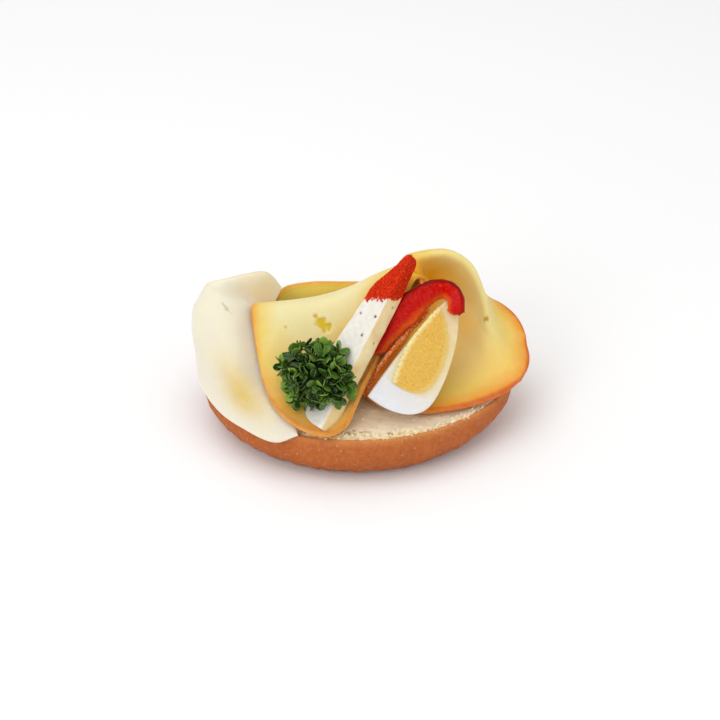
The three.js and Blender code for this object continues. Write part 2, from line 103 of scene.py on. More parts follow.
def cells(points, size, seed):
    # distance to the nearest of many scattered dots, in cell sizes, and a random number of that dot
    scaled = points / size
    base = np.floor(scaled).astype(np.int64)
    best = np.full(points.shape[:-1], 9.0)
    label = np.zeros(points.shape[:-1])
    for shift in np.ndindex(3, 3, 3):
        cell = base + np.array(shift) - 1
        mixed = (cell[..., 0] * 73856093) ^ (cell[..., 1] * 19349663) ^ (cell[..., 2] * 83492791)
        mixed = mixed ^ (seed * 2654435)
        dots = []
        for k in range(4):
            mixed = (mixed * 1103515245 + 12345 + k) & 0x7FFFFFFF
            mixed = mixed ^ (mixed >> 13)
            dots.append((mixed & 0xFFFF) / 65535.0)
        away = np.linalg.norm(scaled - cell - np.stack(dots[:3], -1), axis=-1)
        nearer = away < best
        best = np.where(nearer, away, best)
        label = np.where(nearer, dots[3], label)
    return best, label


def meshPiece(name, points, faces, attributes=None):
    # faces is an array of quads or of triangles; points are in millimetres
    faces = np.asarray(faces, np.int32)
    corners = faces.shape[1]
    a, b, c = (points[faces[:, k]] for k in (0, 1, 2))
    volume = np.einsum("ij,ij->i", a, np.cross(b, c)).sum()
    if corners == 4:
        volume += np.einsum("ij,ij->i", a, np.cross(c, points[faces[:, 3]])).sum()
    if volume < 0:
        faces = faces[:, ::-1]
    mesh = bpy.data.meshes.new(name)
    mesh.vertices.add(len(points))
    mesh.vertices.foreach_set("co", (points * mm).astype(np.float32).ravel())
    mesh.loops.add(faces.size)
    mesh.loops.foreach_set("vertex_index", faces.ravel().astype(np.int32))
    mesh.polygons.add(len(faces))
    mesh.polygons.foreach_set("loop_start", np.arange(0, faces.size, corners, dtype=np.int32))
    mesh.polygons.foreach_set("use_smooth", np.ones(len(faces), bool))
    mesh.update(calc_edges=True)
    for key, values in (attributes or {}).items():
        layer = mesh.attributes.new(key, "FLOAT", "POINT")
        layer.data.foreach_set("value", np.asarray(values, np.float32).ravel())
    mesh.validate()
    piece = bpy.data.objects.new(name, mesh)
    bpy.context.scene.collection.objects.link(piece)
    return piece


def gridFaces(rows, columns, offset=0, wrap=False):
    i, j = np.meshgrid(np.arange(rows - 1), np.arange(columns if wrap else columns - 1), indexing="ij")
    k = (j + 1) % columns
    quads = np.stack([i * columns + j, (i + 1) * columns + j, (i + 1) * columns + k, i * columns + k], -1)
    return quads.reshape(-1, 4) + offset


def ringPiece(name, rings, attributes=None):
    # rings is (count, around, 3): a closed skin, drawn together to a point at both ends
    count, around = rings.shape[:2]
    points = rings.reshape(-1, 3)
    faces = [gridFaces(count, around, wrap=True)]
    for k, flip in ((0, False), (count - 1, True)):
        centre = rings[k].mean(0)
        ring = np.arange(around) + k * around
        inner = len(points) + np.arange(around)
        small = centre + (rings[k] - centre) * 0.02
        points = np.concatenate([points, small, centre[None]])
        nextRing, nextInner = np.roll(ring, -1), np.roll(inner, -1)
        band = np.stack([ring, nextRing, nextInner, inner], -1)
        tip = np.full(around, len(points) - 1)
        faces.append(band if not flip else band[:, ::-1])
        half = np.stack([inner[::2], np.roll(inner, -1)[::2], np.roll(inner, -2)[::2], tip[::2]], -1)
        faces.append(half if not flip else half[:, ::-1])
    if attributes:
        spread = {}
        for key, values in attributes.items():
            values = np.broadcast_to(values, rings.shape[:2])
            ends = [np.concatenate([values[k], [values[k].mean()]]) for k in (0, count - 1)]
            spread[key] = np.concatenate([values.ravel(), *ends])
        attributes = spread
    return meshPiece(name, points, np.concatenate(faces), attributes)


def finishPiece(piece, material, slot, *nodes):
    piece.data.materials.clear()
    piece.data.materials.append(material)
    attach(piece, nodeBody)
    if nodes:
        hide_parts(*nodes)
    print("made", piece.name, len(piece.data.polygons))
    return piece


# small tools for materials

def shade(red, green, blue):
    # a colour as it is seen, from 0 to 255, made linear
    channels = (red, green, blue)
    return tuple(((c / 255 + 0.055) / 1.055) ** 2.4 if c > 10 else c / 3294 for c in channels) + (1.0,)


class Wire:
    # one output of a material's node, for sums
    def __init__(self, tree, socket):
        self.tree = tree
        self.socket = socket

    def sum(self, operation, first, second, clamp=False):
        node = self.tree.nodes.new("ShaderNodeMath")
        node.operation = operation
        node.use_clamp = clamp
        for value, slot in ((first, node.inputs[0]), (second, node.inputs[1])):
            if isinstance(value, Wire):
                self.tree.links.new(value.socket, slot)
            else:
                slot.default_value = value
        return Wire(self.tree, node.outputs[0])

    def __add__(self, other):
        return self.sum("ADD", self, other)

    def __radd__(self, other):
        return self.sum("ADD", other, self)

    def __sub__(self, other):
        return self.sum("SUBTRACT", self, other)

    def __rsub__(self, other):
        return self.sum("SUBTRACT", other, self)

    def __mul__(self, other):
        return self.sum("MULTIPLY", self, other)

    def __rmul__(self, other):
        return self.sum("MULTIPLY", other, self)

    def __truediv__(self, other):
        return self.sum("DIVIDE", self, other)

    def __pow__(self, other):
        return self.sum("POWER", self, other)

    def above(self, low, high):
        # 0 below low, 1 above high, soft between
        return self.sum("DIVIDE", self - low, high - low, clamp=True)


class Finish:
    # one material, with its Principled shader
    def __init__(self, name, **settings):
        self.material = bpy.data.materials.new(name)
        self.material.use_nodes = True
        self.tree = self.material.node_tree
        self.tree.nodes.clear()
        self.shader = self.tree.nodes.new("ShaderNodeBsdfPrincipled")
        output = self.tree.nodes.new("ShaderNodeOutputMaterial")
        self.tree.links.new(self.shader.outputs[0], output.inputs["Surface"])
        for key, value in settings.items():
            self.feed(key.replace("_", " "), value)

    def feed(self, key, value):
        socket = self.shader.inputs[key]
        if isinstance(value, Wire):
            self.tree.links.new(value.socket, socket)
        else:
            socket.default_value = value

    def node(self, kind, output=0, settings=None, **inputs):
        made = self.tree.nodes.new(kind)
        for key, value in (settings or {}).items():
            if key == "stops":
                ramp = made.color_ramp
                while len(ramp.elements) < len(value):
                    ramp.elements.new(0.5)
                for element, (place, colour) in zip(ramp.elements, value):
                    element.position = place
                    element.color = colour
            else:
                setattr(made, key, value)
        for key, value in inputs.items():
            key = key.replace("_", " ")
            socket = made.inputs[int(key[1:]) if key[0] == "i" and key[1:].isdigit() else key]
            if isinstance(value, Wire):
                self.tree.links.new(value.socket, socket)
            else:
                socket.default_value = value
        return Wire(self.tree, made.outputs[output])

    def place(self):
        return self.node("ShaderNodeTexCoord", "Object")

    def reads(self, attribute):
        return self.node("ShaderNodeAttribute", "Fac", {"attribute_name": attribute})

    def noise(self, scale, detail=2.0, rough=0.5, output=0):
        return self.node("ShaderNodeTexNoise", output, None, Vector=self.place(), Scale=scale, Detail=detail,
                         Roughness=rough)

    def dots(self, scale, output="Distance"):
        return self.node("ShaderNodeTexVoronoi", output, None, Vector=self.place(), Scale=scale)

    def blend(self, factor, first, second, how="MIX"):
        settings = {"data_type": "RGBA", "blend_type": how}
        return self.node("ShaderNodeMix", 2, settings, i0=factor, i6=first, i7=second)

    def ramp(self, factor, *stops):
        return self.node("ShaderNodeValToRGB", 0, {"stops": stops}, Fac=factor)

    def bump(self, height, strength, distance=0.0002):
        self.feed("Normal", self.node("ShaderNodeBump", 0, None, Height=height, Strength=strength,
                                      Distance=distance))


# scattering over a surface, with Geometry Nodes

def scatterTree(name, material):
    tree = bpy.data.node_groups.new(name, "GeometryNodeTree")
    face = tree.interface
    face.new_socket("Geometry", in_out="INPUT", socket_type="NodeSocketGeometry")
    for label, kind in (("Grain", "NodeSocketObject"), ("Density", "NodeSocketFloat"),
                        ("Smallest", "NodeSocketFloat"), ("Largest", "NodeSocketFloat"),
                        ("Lean", "NodeSocketFloat"), ("Apart", "NodeSocketFloat"), ("Seed", "NodeSocketInt")):
        face.new_socket(label, in_out="INPUT", socket_type=kind)
    face.new_socket("Geometry", in_out="OUTPUT", socket_type="NodeSocketGeometry")

    def add(kind, settings=None, **inputs):
        node = tree.nodes.new(kind)
        for key, value in (settings or {}).items():
            setattr(node, key, value)
        for key, value in inputs.items():
            key = key.replace("_", " ")
            socket = node.inputs[int(key[1:]) if key[0] == "i" and key[1:].isdigit() else key]
            if isinstance(value, bpy.types.NodeSocket):
                tree.links.new(value, socket)
            else:
                socket.default_value = value
        return node

    given = add("NodeGroupInput").outputs
    where = add("GeometryNodeInputNamedAttribute", {"data_type": "FLOAT"}, Name="where").outputs[0]
    points = add("GeometryNodeDistributePointsOnFaces", {"distribute_method": "POISSON"},
                 Mesh=given["Geometry"],
                 Distance_Min=given["Apart"], Density_Max=given["Density"], Density_Factor=where,
                 Seed=given["Seed"])
    grain = add("GeometryNodeObjectInfo", Object=given["Grain"]).outputs["Geometry"]
    lean = add("ShaderNodeVectorMath", {"operation": "SCALE"}, i0=(1.0, 1.0, 0.0), Scale=given["Lean"])
    full = add("ShaderNodeVectorMath", {"operation": "ADD"}, i0=lean.outputs[0], i1=(0.0, 0.0, math.pi))
    back = add("ShaderNodeVectorMath", {"operation": "SCALE"}, i0=full.outputs[0], Scale=-1.0)
    turn = add("FunctionNodeRandomValue", {"data_type": "FLOAT_VECTOR"}, Min=back.outputs[0],
               Max=full.outputs[0], Seed=given["Seed"])
    euler = add("FunctionNodeEulerToRotation", Euler=turn.outputs[0])
    spun = add("FunctionNodeRotateRotation", {"rotation_space": "LOCAL"}, Rotation=points.outputs["Rotation"],
               Rotate_By=euler.outputs[0])
    size = add("FunctionNodeRandomValue", {"data_type": "FLOAT"}, Seed=given["Seed"])
    tree.links.new(given["Smallest"], size.inputs[2])
    tree.links.new(given["Largest"], size.inputs[3])
    copies = add("GeometryNodeInstanceOnPoints", Points=points.outputs["Points"], Instance=grain,
                 Rotation=spun.outputs[0])
    tree.links.new(size.outputs[1], copies.inputs["Scale"])
    real = add("GeometryNodeRealizeInstances", Geometry=copies.outputs[0])
    finished = add("GeometryNodeSetMaterial", Geometry=real.outputs[0], Material=material)
    out = add("NodeGroupOutput")
    tree.links.new(finished.outputs[0], out.inputs[0])
    return tree


def scatterOver(name, carrier, grain, material, settings):
    # carrier's "where" attribute says how thickly the grains lie
    tree = scatterTree(name + "Tree", material)
    modifier = carrier.modifiers.new(name, "NODES")
    modifier.node_group = tree
    sockets = {item.name: item.identifier for item in tree.interface.items_tree if item.in_out == "INPUT"}
    modifier[sockets["Grain"]] = grain
    for label, value in settings.items():
        modifier[sockets[label]] = value
    graph = bpy.context.evaluated_depsgraph_get()
    mesh = bpy.data.meshes.new_from_object(carrier.evaluated_get(graph))
    carrier.modifiers.remove(modifier)
    mesh.name = name
    for polygon in mesh.polygons:
        polygon.use_smooth = True
    piece = bpy.data.objects.new(name, mesh)
    bpy.context.scene.collection.objects.link(piece)
    return piece


def dropObject(thing):
    bpy.data.objects.remove(thing, do_unlink=True)


def grainMesh(name, seed, rough=0.25, flat=1.0):
    # a small lumpy grain, one millimetre across
    shape = bmesh.new()
    bmesh.ops.create_icosphere(shape, subdivisions=1, radius=0.5)
    points = np.array([v.co for v in shape.verts])
    faces = np.array([[v.index for v in f.verts] for f in shape.faces])
    shape.free()
    rng = np.random.default_rng(seed)
    points *= 1 + rng.uniform(-rough, rough, (len(points), 1))
    points[:, 2] *= flat
    return meshPiece(name, points, faces)


# camera, floor and light

view = {"target": (0.4, 0.0, 24.4), "distance": 769.0, "elevation": 38.0, "lens": 100.0}


def setStage():
    scene = bpy.context.scene
    lean = math.radians(view["elevation"])
    camera = bpy.data.objects.new("camera", bpy.data.cameras.new("camera"))
    scene.collection.objects.link(camera)
    away = Vector((0, -math.cos(lean), math.sin(lean)))
    camera.location = (Vector(view["target"]) + away * view["distance"]) * mm
    camera.rotation_euler = Euler((math.pi / 2 - lean, 0, 0))
    camera.data.lens = view["lens"]
    camera.data.clip_start = 0.05
    scene.camera = camera

    half = 4000.0
    corners = np.array([[-half, -half, 0], [half, -half, 0], [half, half, 0], [-half, half, 0]])
    corners[:, 2] = cadLow.z / mm - 0.02
    floor = meshPiece("floor", corners, [[0, 1, 2, 3]])
    finish = Finish("paleFloor", Base_Color=shade(252, 252, 252), Roughness=0.9)
    floor.data.materials.append(finish.material)

    world = bpy.data.worlds.new("studio")
    scene.world = world
    world.use_nodes = True
    world.node_tree.nodes["Background"].inputs["Color"].default_value = (1.0, 1.0, 1.0, 1.0)
    world.node_tree.nodes["Background"].inputs["Strength"].default_value = 0.69
    world.cycles_visibility.glossy = False
    lamps = {
        "softTop": {"place": (-160, 40, 900), "size": 800, "power": 2.85},
        "softFront": {"place": (-420, -560, 520), "size": 420, "power": 1.4},
        "softRight": {"place": (620, -200, 380), "size": 400, "power": 0.3},
    }
    for name, settings in lamps.items():
        lamp = bpy.data.lights.new(name, "AREA")
        lamp.size = settings["size"] * mm
        lamp.energy = settings["power"]
        lightObject = bpy.data.objects.new(name, lamp)
        scene.collection.objects.link(lightObject)
        place = Vector(settings["place"]) * mm
        lightObject.location = place
        aim = Vector((0, 0, 0.02)) - place
        lightObject.rotation_euler = aim.to_track_quat("-Z", "Y").to_euler()
    scene.view_settings.view_transform = "Standard"
    print("stage set")


setStage()


# the half roll

roll = {"halfLength": 59.2, "shift": -0.9, "halfWidth": 42.0, "height": 19.0, "wobble": 0.0075,
        "around": 720, "dimple": 0.35}
rollProfile = [(0, -15.5, -8.6), (0.9, -11.5, -4.8), (3, -7.4, -1.7), (5.5, -4.6, 0.5), (9, -1.6, 1.9),
               (12.5, 0.2, 2.0), (16, 0.2, 1.1), (18.5, -0.1, 0.1), (19, -0.8, -0.8)]


def rollRing(angle, insetX, insetY, z):
    swell = 1 + roll["wobble"] * (np.sin(3 * angle + 0.6) + 0.6 * np.sin(5 * angle + 2.1))
    x = roll["shift"] + (roll["halfLength"] + insetX) * swell * np.cos(angle)
    y = (roll["halfWidth"] + insetY) * swell * np.sin(angle)
    return np.stack(np.broadcast_arrays(x, y, z), -1)


def makeCrust():
    angle = np.linspace(0, 2 * math.pi, roll["around"], endpoint=False)
    profile = curveThrough(rollProfile, np.linspace(0, 1, 84))
    rings = []
    for fraction in (0.25, 0.6, 0.85):
        ring = rollRing(angle, profile[0][1], profile[0][2], 0.0)
        centre = np.array([roll["shift"], 0, 0])
        rings.append(centre + (ring - centre) * fraction)
    for z, insetX, insetY in profile:
        rings.append(rollRing(angle, insetX, insetY, z))
    for drop, inset in ((0.05, 1.2), (0.35, 1.7), (1.2, 2.0), (1.6, 3.2), (1.7, 12.0)):
        rings.append(rollRing(angle, -inset, -inset, roll["height"] - drop))
    rings = np.array(rings)
    side = smoothStep(0.2, 2.0, rings[..., 2]) * (1 - smoothStep(18.2, 18.9, rings[..., 2]))
    outward = unitVector(rings * np.array([1 / 59.0 ** 2, 1 / 42.0 ** 2, 0]))
    low = 1 - smoothStep(4.0, 9.0, rings[..., 2])
    lumps = 0.16 * waves(rings, 9, 3) + 0.07 * waves(rings, 3.2, 4) + low * 0.42 * waves(rings, 5.5, 5)
    fine = 0.035 * waves(rings, 1.1, 6, 20)
    near, _ = cells(rings, 2.6, 7)
    pits = -roll["dimple"] * 0.35 * (1 - smoothStep(0.05, 0.22, near))
    rings = rings + outward * (side * (lumps + fine + pits - 0.12))[..., None]
    return ringPiece("rollCrust", rings, {"height": rings[..., 2]})


def crustFinish():
    finish = Finish("bakedCrust", Roughness=0.62, Specular_IOR_Level=0.12)
    height = finish.reads("height")
    cloudy = finish.noise(90, 3, 0.6)
    tone = finish.ramp(height / 19.0, (0.0, shade(120, 62, 30)), (0.16, shade(166, 88, 42)),
                       (0.5, shade(186, 100, 48)), (0.86, shade(192, 106, 54)), (0.96, shade(204, 124, 66)),
                       (1.0, shade(210, 140, 80)))
    tone = finish.blend(cloudy.above(0.42, 0.72) * 0.35, tone, shade(150, 78, 40))
    mottle = finish.noise(700, 3, 0.65)
    tone = finish.blend(mottle.above(0.5, 0.75) * 0.35, tone, shade(208, 140, 92))
    tone = finish.blend(mottle.above(0.5, 0.28) * 0.25, tone, shade(126, 62, 32))
    speck = finish.dots(620)
    rare = finish.dots(620, "Color")
    bright = finish.node("ShaderNodeSeparateColor", 0, None, Color=rare)
    specks = (1 - speck.above(0.10, 0.2)) * bright.above(0.72, 0.8)
    tone = finish.blend(specks * 0.7, tone, shade(233, 186, 138))
    finish.feed("Base Color", tone)
    finish.feed("Roughness", 0.5 + 0.25 * mottle)
    finish.bump(finish.noise(1500, 3, 0.6) + 0.7 * cloudy, 0.35, 0.0003)
    return finish.material


crumb = {"around": 900, "inset": 0.95, "ragged": 0.35, "thickness": 3.0, "band": 9.0}


def makeCrumb():
    angle = np.linspace(0, 2 * math.pi, crumb["around"], endpoint=False)
    inward = np.concatenate([np.linspace(0, crumb["band"], 46), crumb["band"] + np.linspace(0.3, 32, 40)])
    edge = np.stack([59 * np.cos(angle), 42 * np.sin(angle), np.zeros_like(angle)], -1)
    ragged = crumb["ragged"] * (0.5 * waves(edge, 3, 11) + 0.5 * waves(edge, 1.2, 12))
    top = roll["height"] - 0.1
    rings = [rollRing(angle, -12.0, -12.0, top - crumb["thickness"]),
             rollRing(angle, -crumb["inset"] - 0.5, -crumb["inset"] - 0.5, top - crumb["thickness"])]
    lower = -crumb["inset"] - 0.1 + ragged * 0.5
    rings += [rollRing(angle, lower, lower, top - 1.0)]
    first = len(rings)
    for d in inward:
        inset = -crumb["inset"] - d + ragged * max(0, 1 - d / 2)
        rings.append(rollRing(angle, inset, inset, top))
    rings = np.array(rings)
    deep = np.zeros(rings.shape[:2])
    flat = rings[first:]
    inside = np.broadcast_to(inward[:, None], flat.shape[:2])
    near, label = cells(flat, 2.8, 21)
    small, smallLabel = cells(flat, 1.3, 22)
    pit = (1 - smoothStep(0.12, 0.42, near)) * (label > 0.35) * (0.4 + 0.7 * label)
    pit2 = (1 - smoothStep(0.1, 0.4, small)) * (smallLabel > 0.4) * 0.5
    rough = 0.26 * waves(flat, 2.4, 23) + 0.14 * waves(flat, 1.1, 24, 20) + 0.2 * waves(flat, 5, 25)
    edgeDrop = -0.35 * (1 - smoothStep(0, 0.7, inside))
    height = rough - 1.0 * pit - 0.6 * pit2 + edgeDrop
    rings[first:, :, 2] += height
    # painted shade: pits and low spots of the crumb are marked here to be coloured darker
    deep[first:] = np.clip(0.9 * pit + 0.8 * pit2 - 0.7 * rough - 0.12, 0, 1)
    rim = np.full(rings.shape[:2], 0.0)
    rim[first:] = inside
    where = (rim > 0.1) * (1 - smoothStep(2.6, 4.4, rim)) * (rings[..., 1] < 0)
    return ringPiece("rollCrumb", rings, {"deep": deep, "rim": rim, "where": where})


def crumbFinish():
    finish = Finish("openCrumb", Roughness=0.85, Specular_IOR_Level=0.2, Subsurface_Weight=0.25,
                    Subsurface_Radius=(0.9, 0.5, 0.25), Subsurface_Scale=0.0015)
    rim = finish.reads("rim")
    deep = finish.reads("deep")
    tone = finish.ramp(rim / 9.0, (0.0, shade(214, 146, 84)), (0.04, shade(238, 202, 146)),
                       (0.2, shade(244, 222, 176)), (0.6, shade(242, 222, 188)), (1.0, shade(240, 218, 186)))
    mottle = finish.noise(420, 4, 0.6)
    tone = finish.blend(mottle.above(0.44, 0.62) * 0.6, tone, shade(254, 244, 222))
    # painted shade: pits and low spots darkened to brown
    tone = finish.blend(deep * 0.8, tone, shade(186, 128, 70))
    finish.feed("Base Color", tone)
    finish.bump(finish.noise(1800, 3, 0.6), 0.5, 0.0003)
    return finish.material


butter = {"around": 600, "front": 4.6, "thickness": 0.75, "wander": 1.5}


def makeButter():
    angle = np.linspace(0, 2 * math.pi, butter["around"], endpoint=False)
    edge = np.stack([59 * np.cos(angle), 42 * np.sin(angle), np.zeros_like(angle)], -1)
    wander = butter["wander"] * waves(edge, 22, 31) + 0.7 * waves(edge, 6, 32) + 0.25 * waves(edge, 2.2, 33)
    right = smoothStep(0.55, 0.95, np.cos(angle)) * (np.sin(angle) < 0)
    inset = np.maximum(butter["front"] + wander - 3.4 * right, 1.3)
    base = roll["height"] - 0.5
    rings = [rollRing(angle, -14.0, -14.0, base - 0.4),
             rollRing(angle, -inset - 1.0, -inset - 1.0, base - 0.4)]
    steps = np.concatenate([np.linspace(0, 2.4, 14), 2.4 + np.linspace(0.4, 36, 70)])
    for d in steps:
        lift = butter["thickness"] * math.sqrt(max(0.0, 1 - (1 - min(d / 1.1, 1)) ** 2))
        rings.append(rollRing(angle, -inset - d, -inset - d, base + 0.1 + lift))
    rings = np.array(rings)
    flat = rings[2:]
    inside = np.broadcast_to(steps[:, None], flat.shape[:2])
    near, label = cells(flat, 1.7, 35)
    pit = (1 - smoothStep(0.08, 0.3, near)) * (label > 0.62)
    strokes = flat * np.array([0.35, 1.0, 1.0])
    relief = 0.14 * waves(strokes, 3.5, 34) + 0.05 * waves(flat, 1.4, 36) - 0.4 * pit
    rings[2:, :, 2] += relief * smoothStep(0.0, 0.8, inside)
    # painted shade: the pits are marked here to be coloured darker
    deep = np.zeros(rings.shape[:2])
    deep[2:] = pit
    return ringPiece("butterSpread", rings, {"deep": deep})


def butterFinish():
    finish = Finish("softButter", Roughness=0.5, Specular_IOR_Level=0.4, Subsurface_Weight=0.35,
                    Subsurface_Radius=(1.0, 0.7, 0.4), Subsurface_Scale=0.002)
    cloudy = finish.noise(160, 3, 0.6)
    tone = finish.blend(cloudy.above(0.35, 0.7), shade(244, 222, 192), shade(234, 208, 178))
    # painted shade: pits darkened to brown
    tone = finish.blend(finish.reads("deep") * 0.7, tone, shade(190, 146, 100))
    finish.feed("Base Color", tone)
    finish.feed("Roughness", 0.42 + 0.25 * cloudy)
    finish.bump(finish.noise(900, 3, 0.6), 0.3, 0.0003)
    return finish.material


crustPiece = makeCrust()
crumbPiece = makeCrumb()
butterPiece = makeButter()
crumbMaterial = crumbFinish()
finishPiece(crustPiece, crustFinish(), "crust", "roll_half")
finishPiece(crumbPiece, crumbMaterial, "crust")
finishPiece(butterPiece, butterFinish(), "butter", "butter")

looseCrumbs = {"Density": 1.1e6, "Smallest": 0.4, "Largest": 1.7, "Lean": 3.0, "Apart": 0.0004, "Seed": 4}
bit = grainMesh("crumbBit", 41, 0.45, 0.7)
crumbsPiece = scatterOver("looseCrumbs", crumbPiece, bit, crumbMaterial, looseCrumbs)
finishPiece(crumbsPiece, crumbMaterial, "crust")
dropObject(bit)


# slices of cheese

def sliceGrid(rows, across, along):
    # rows run along a fold, and each section over them is one smooth curve
    rows = np.asarray(rows, float)
    stations = curveThrough(np.moveaxis(rows, 1, 0), along)
    return curveThrough(np.moveaxis(stations, 1, 0), across)


def rimPlaces(count, length, edge):
    # even places from 0 to 1 with a few close to both ends, where the rim is rounded
    close = np.array([0.0, 0.06, 0.18, 0.38, 0.66, 1.0]) * edge / length
    middle = np.linspace(close[-1], 1 - close[-1], count)
    return np.concatenate([close[:-1], middle, 1 - close[:-1][::-1]])


def makeSlice(name, settings):
    rows = np.asarray(settings["rows"], float)
    half = settings["thickness"] / 2
    size = settings["size"]
    across = rimPlaces(settings["grid"][0], size[0], half)
    along = rimPlaces(settings["grid"][1], size[1], half)
    middle = sliceGrid(rows, across, along)
    alongWay = np.gradient(middle, along, axis=1)
    acrossWay = np.gradient(middle, across, axis=0)
    normal = unitVector(np.cross(alongWay, acrossWay))
    stepU = np.linalg.norm(np.diff(middle, axis=1), axis=-1)
    stepV = np.linalg.norm(np.diff(middle, axis=0), axis=-1)
    runU = np.concatenate([np.zeros((len(across), 1)), np.cumsum(stepU, 1)], 1)
    runV = np.concatenate([np.zeros((1, len(along))), np.cumsum(stepV, 0)], 0)
    rims = [runU, runU[:, -1:] - runU, runV, runV[-1:] - runV]
    rim = np.minimum.reduce(rims)
    tint = np.minimum.reduce([run / fade for run, fade in zip(rims, settings["fade"])])
    thick = half * (1 + 0.05 * waves(middle, 26, settings["seed"]))
    nearRim = np.clip(rim / half, 0, 1)
    thick = thick * (0.1 + 0.9 * np.sqrt(1 - (1 - nearRim) ** 2))
    middle = middle + normal * (0.12 * waves(middle, 19, settings["seed"] + 1))[..., None]
    eye = np.zeros(rim.shape)
    ragged = settings.get("ragged", 0.25) * waves(middle, 2.6, settings["seed"] + 2)
    for placeV, placeU, width, stretch in settings["eyes"]:
        i = np.abs(across - placeV).argmin()
        j = np.abs(along - placeU).argmin()
        du = (runU - runU[i, j]) / stretch
        dv = (runV - runV[i, j]) * stretch
        reach = np.hypot(du, dv) / (width / 2) + ragged
        reach += 9 * ((np.abs(across[:, None] - placeV) > 0.1) | (np.abs(along[None] - placeU) > 0.1))
        eye = np.maximum(eye, 1 - smoothStep(0.75, 1.05, reach))
    # painted shade: spots in hollows, valleys and next to other parts, later coloured a deep warm yellow
    warm = np.zeros(rim.shape)
    for placeV, placeU, spanV, spanU, amount in settings["warm"]:
        dv = (across[:, None] - placeV) / spanV
        du = (along[None, :] - placeU) / spanU
        warm = np.maximum(warm, amount * np.exp(-(du ** 2 + dv ** 2)))
    wetWidth = settings.get("wet", 0.001)
    fromEdge = runU / wetWidth
    wet = np.maximum(1 - smoothStep(0.5, 1.0, fromEdge), 0.6 - 0.6 * smoothStep(1.5, 3.0, fromEdge))
    wet = wet * (1 - smoothStep(0.56, 0.62, across[:, None]))
    dent = settings.get("dent", 0.7)
    layers, marks = [], {"rim": [], "eye": [], "warm": [], "wet": []}
    for side in (1, -1):
        layers.append(middle + normal * (side * (thick - eye * dent * half))[..., None])
        marks["rim"].append(tint)
        marks["eye"].append(eye)
        marks["warm"].append(warm * (settings["warmShadeSides"][0] if side > 0 else settings["warmShadeSides"][1]))
        marks["wet"].append(wet)
    points = np.concatenate([layer.reshape(-1, 3) for layer in layers])
    rowCount, columnCount = rim.shape
    offset = rowCount * columnCount
    top = gridFaces(rowCount, columnCount)
    bottom = gridFaces(rowCount, columnCount, offset)[:, ::-1]
    number = np.arange(offset).reshape(rowCount, columnCount)
    border = np.concatenate([number[:-1, 0], number[-1, :-1], number[:0:-1, -1], number[0, :0:-1]])
    follow = np.roll(border, -1)
    wall = np.stack([follow, border, border + offset, follow + offset], -1)
    faces = np.concatenate([top, bottom, wall])
    return meshPiece(name, points, faces, {key: np.array(value) for key, value in marks.items()})


def cheeseFinish(name, tones, gloss=0.36, glow=0.6):
    # tones go from the rim inwards: rind, orange, yellow, pale; then the painted warm shade of hollows and
    # valleys, and the eye
    finish = Finish(name, Roughness=gloss, Specular_IOR_Level=0.22, Subsurface_Weight=glow,
                    Subsurface_Radius=(1.0, 0.66, 0.24), Subsurface_Scale=0.0042)
    rim = finish.reads("rim")
    drift = finish.noise(45, 2, 0.5)
    spread = rim * (0.7 + 0.6 * drift)
    tone = finish.ramp(spread / 24.0, (0.0, tones["rind"]), (0.035, tones["rind"]),
                       (0.085, tones["orange"]), (0.3, tones["yellow"]), (0.85, tones["pale"]))
    # painted shade: deep warm yellow laid over the hollows and valleys
    tone = finish.blend(finish.reads("warm"), tone, tones["warm"])
    tone = finish.blend(finish.reads("eye"), tone, tones["eye"])
    cloudy = finish.noise(260, 3, 0.55)
    tone = finish.blend(cloudy.above(0.4, 0.75) * 0.1, tone, shade(255, 246, 206))
    wet = finish.reads("wet")
    # painted highlight: small bright glints scattered over the wet rim; the orange tint below is the rind's
    # own colour
    rimGlints = finish.noise(1900, 2, 0.6).above(0.52, 0.6) * wet.above(0.7, 0.9)
    tone = finish.blend(wet * 0.9, tone, shade(240, 96, 18))
    tone = finish.blend(rimGlints * 0.9, tone, shade(255, 226, 176))
    finish.feed("Base Color", tone)
    fine = finish.noise(1300, 3, 0.6)
    finish.feed("Roughness", gloss - 0.06 + 0.16 * fine - 0.2 * wet)
    finish.bump(fine * (0.5 + wet * 3.0) + cloudy, 0.16, 0.0003)
    return finish.material


# each warm tone below is painted shade for the hollows and valleys, not the cheese's own colour
leftTones = {"rind": shade(216, 146, 58), "orange": shade(236, 176, 74), "yellow": shade(238, 206, 112),
             "pale": shade(241, 225, 172), "warm": shade(240, 186, 36), "eye": shade(244, 194, 34)}
hoodTones = {"rind": shade(204, 102, 30), "orange": shade(232, 160, 56), "yellow": shade(238, 202, 100),
             "pale": shade(240, 220, 152), "warm": shade(255, 194, 4), "eye": shade(214, 168, 66)}
backTones = {"rind": shade(220, 160, 74), "orange": shade(246, 208, 96), "yellow": shade(252, 232, 130),
             "pale": shade(252, 234, 142), "warm": shade(250, 222, 100), "eye": shade(226, 176, 36)}
mildTones = {"rind": shade(236, 227, 212), "orange": shade(236, 227, 210), "yellow": shade(236, 227, 207),
             "pale": shade(236, 227, 206), "warm": shade(224, 196, 122), "eye": shade(214, 206, 168)}

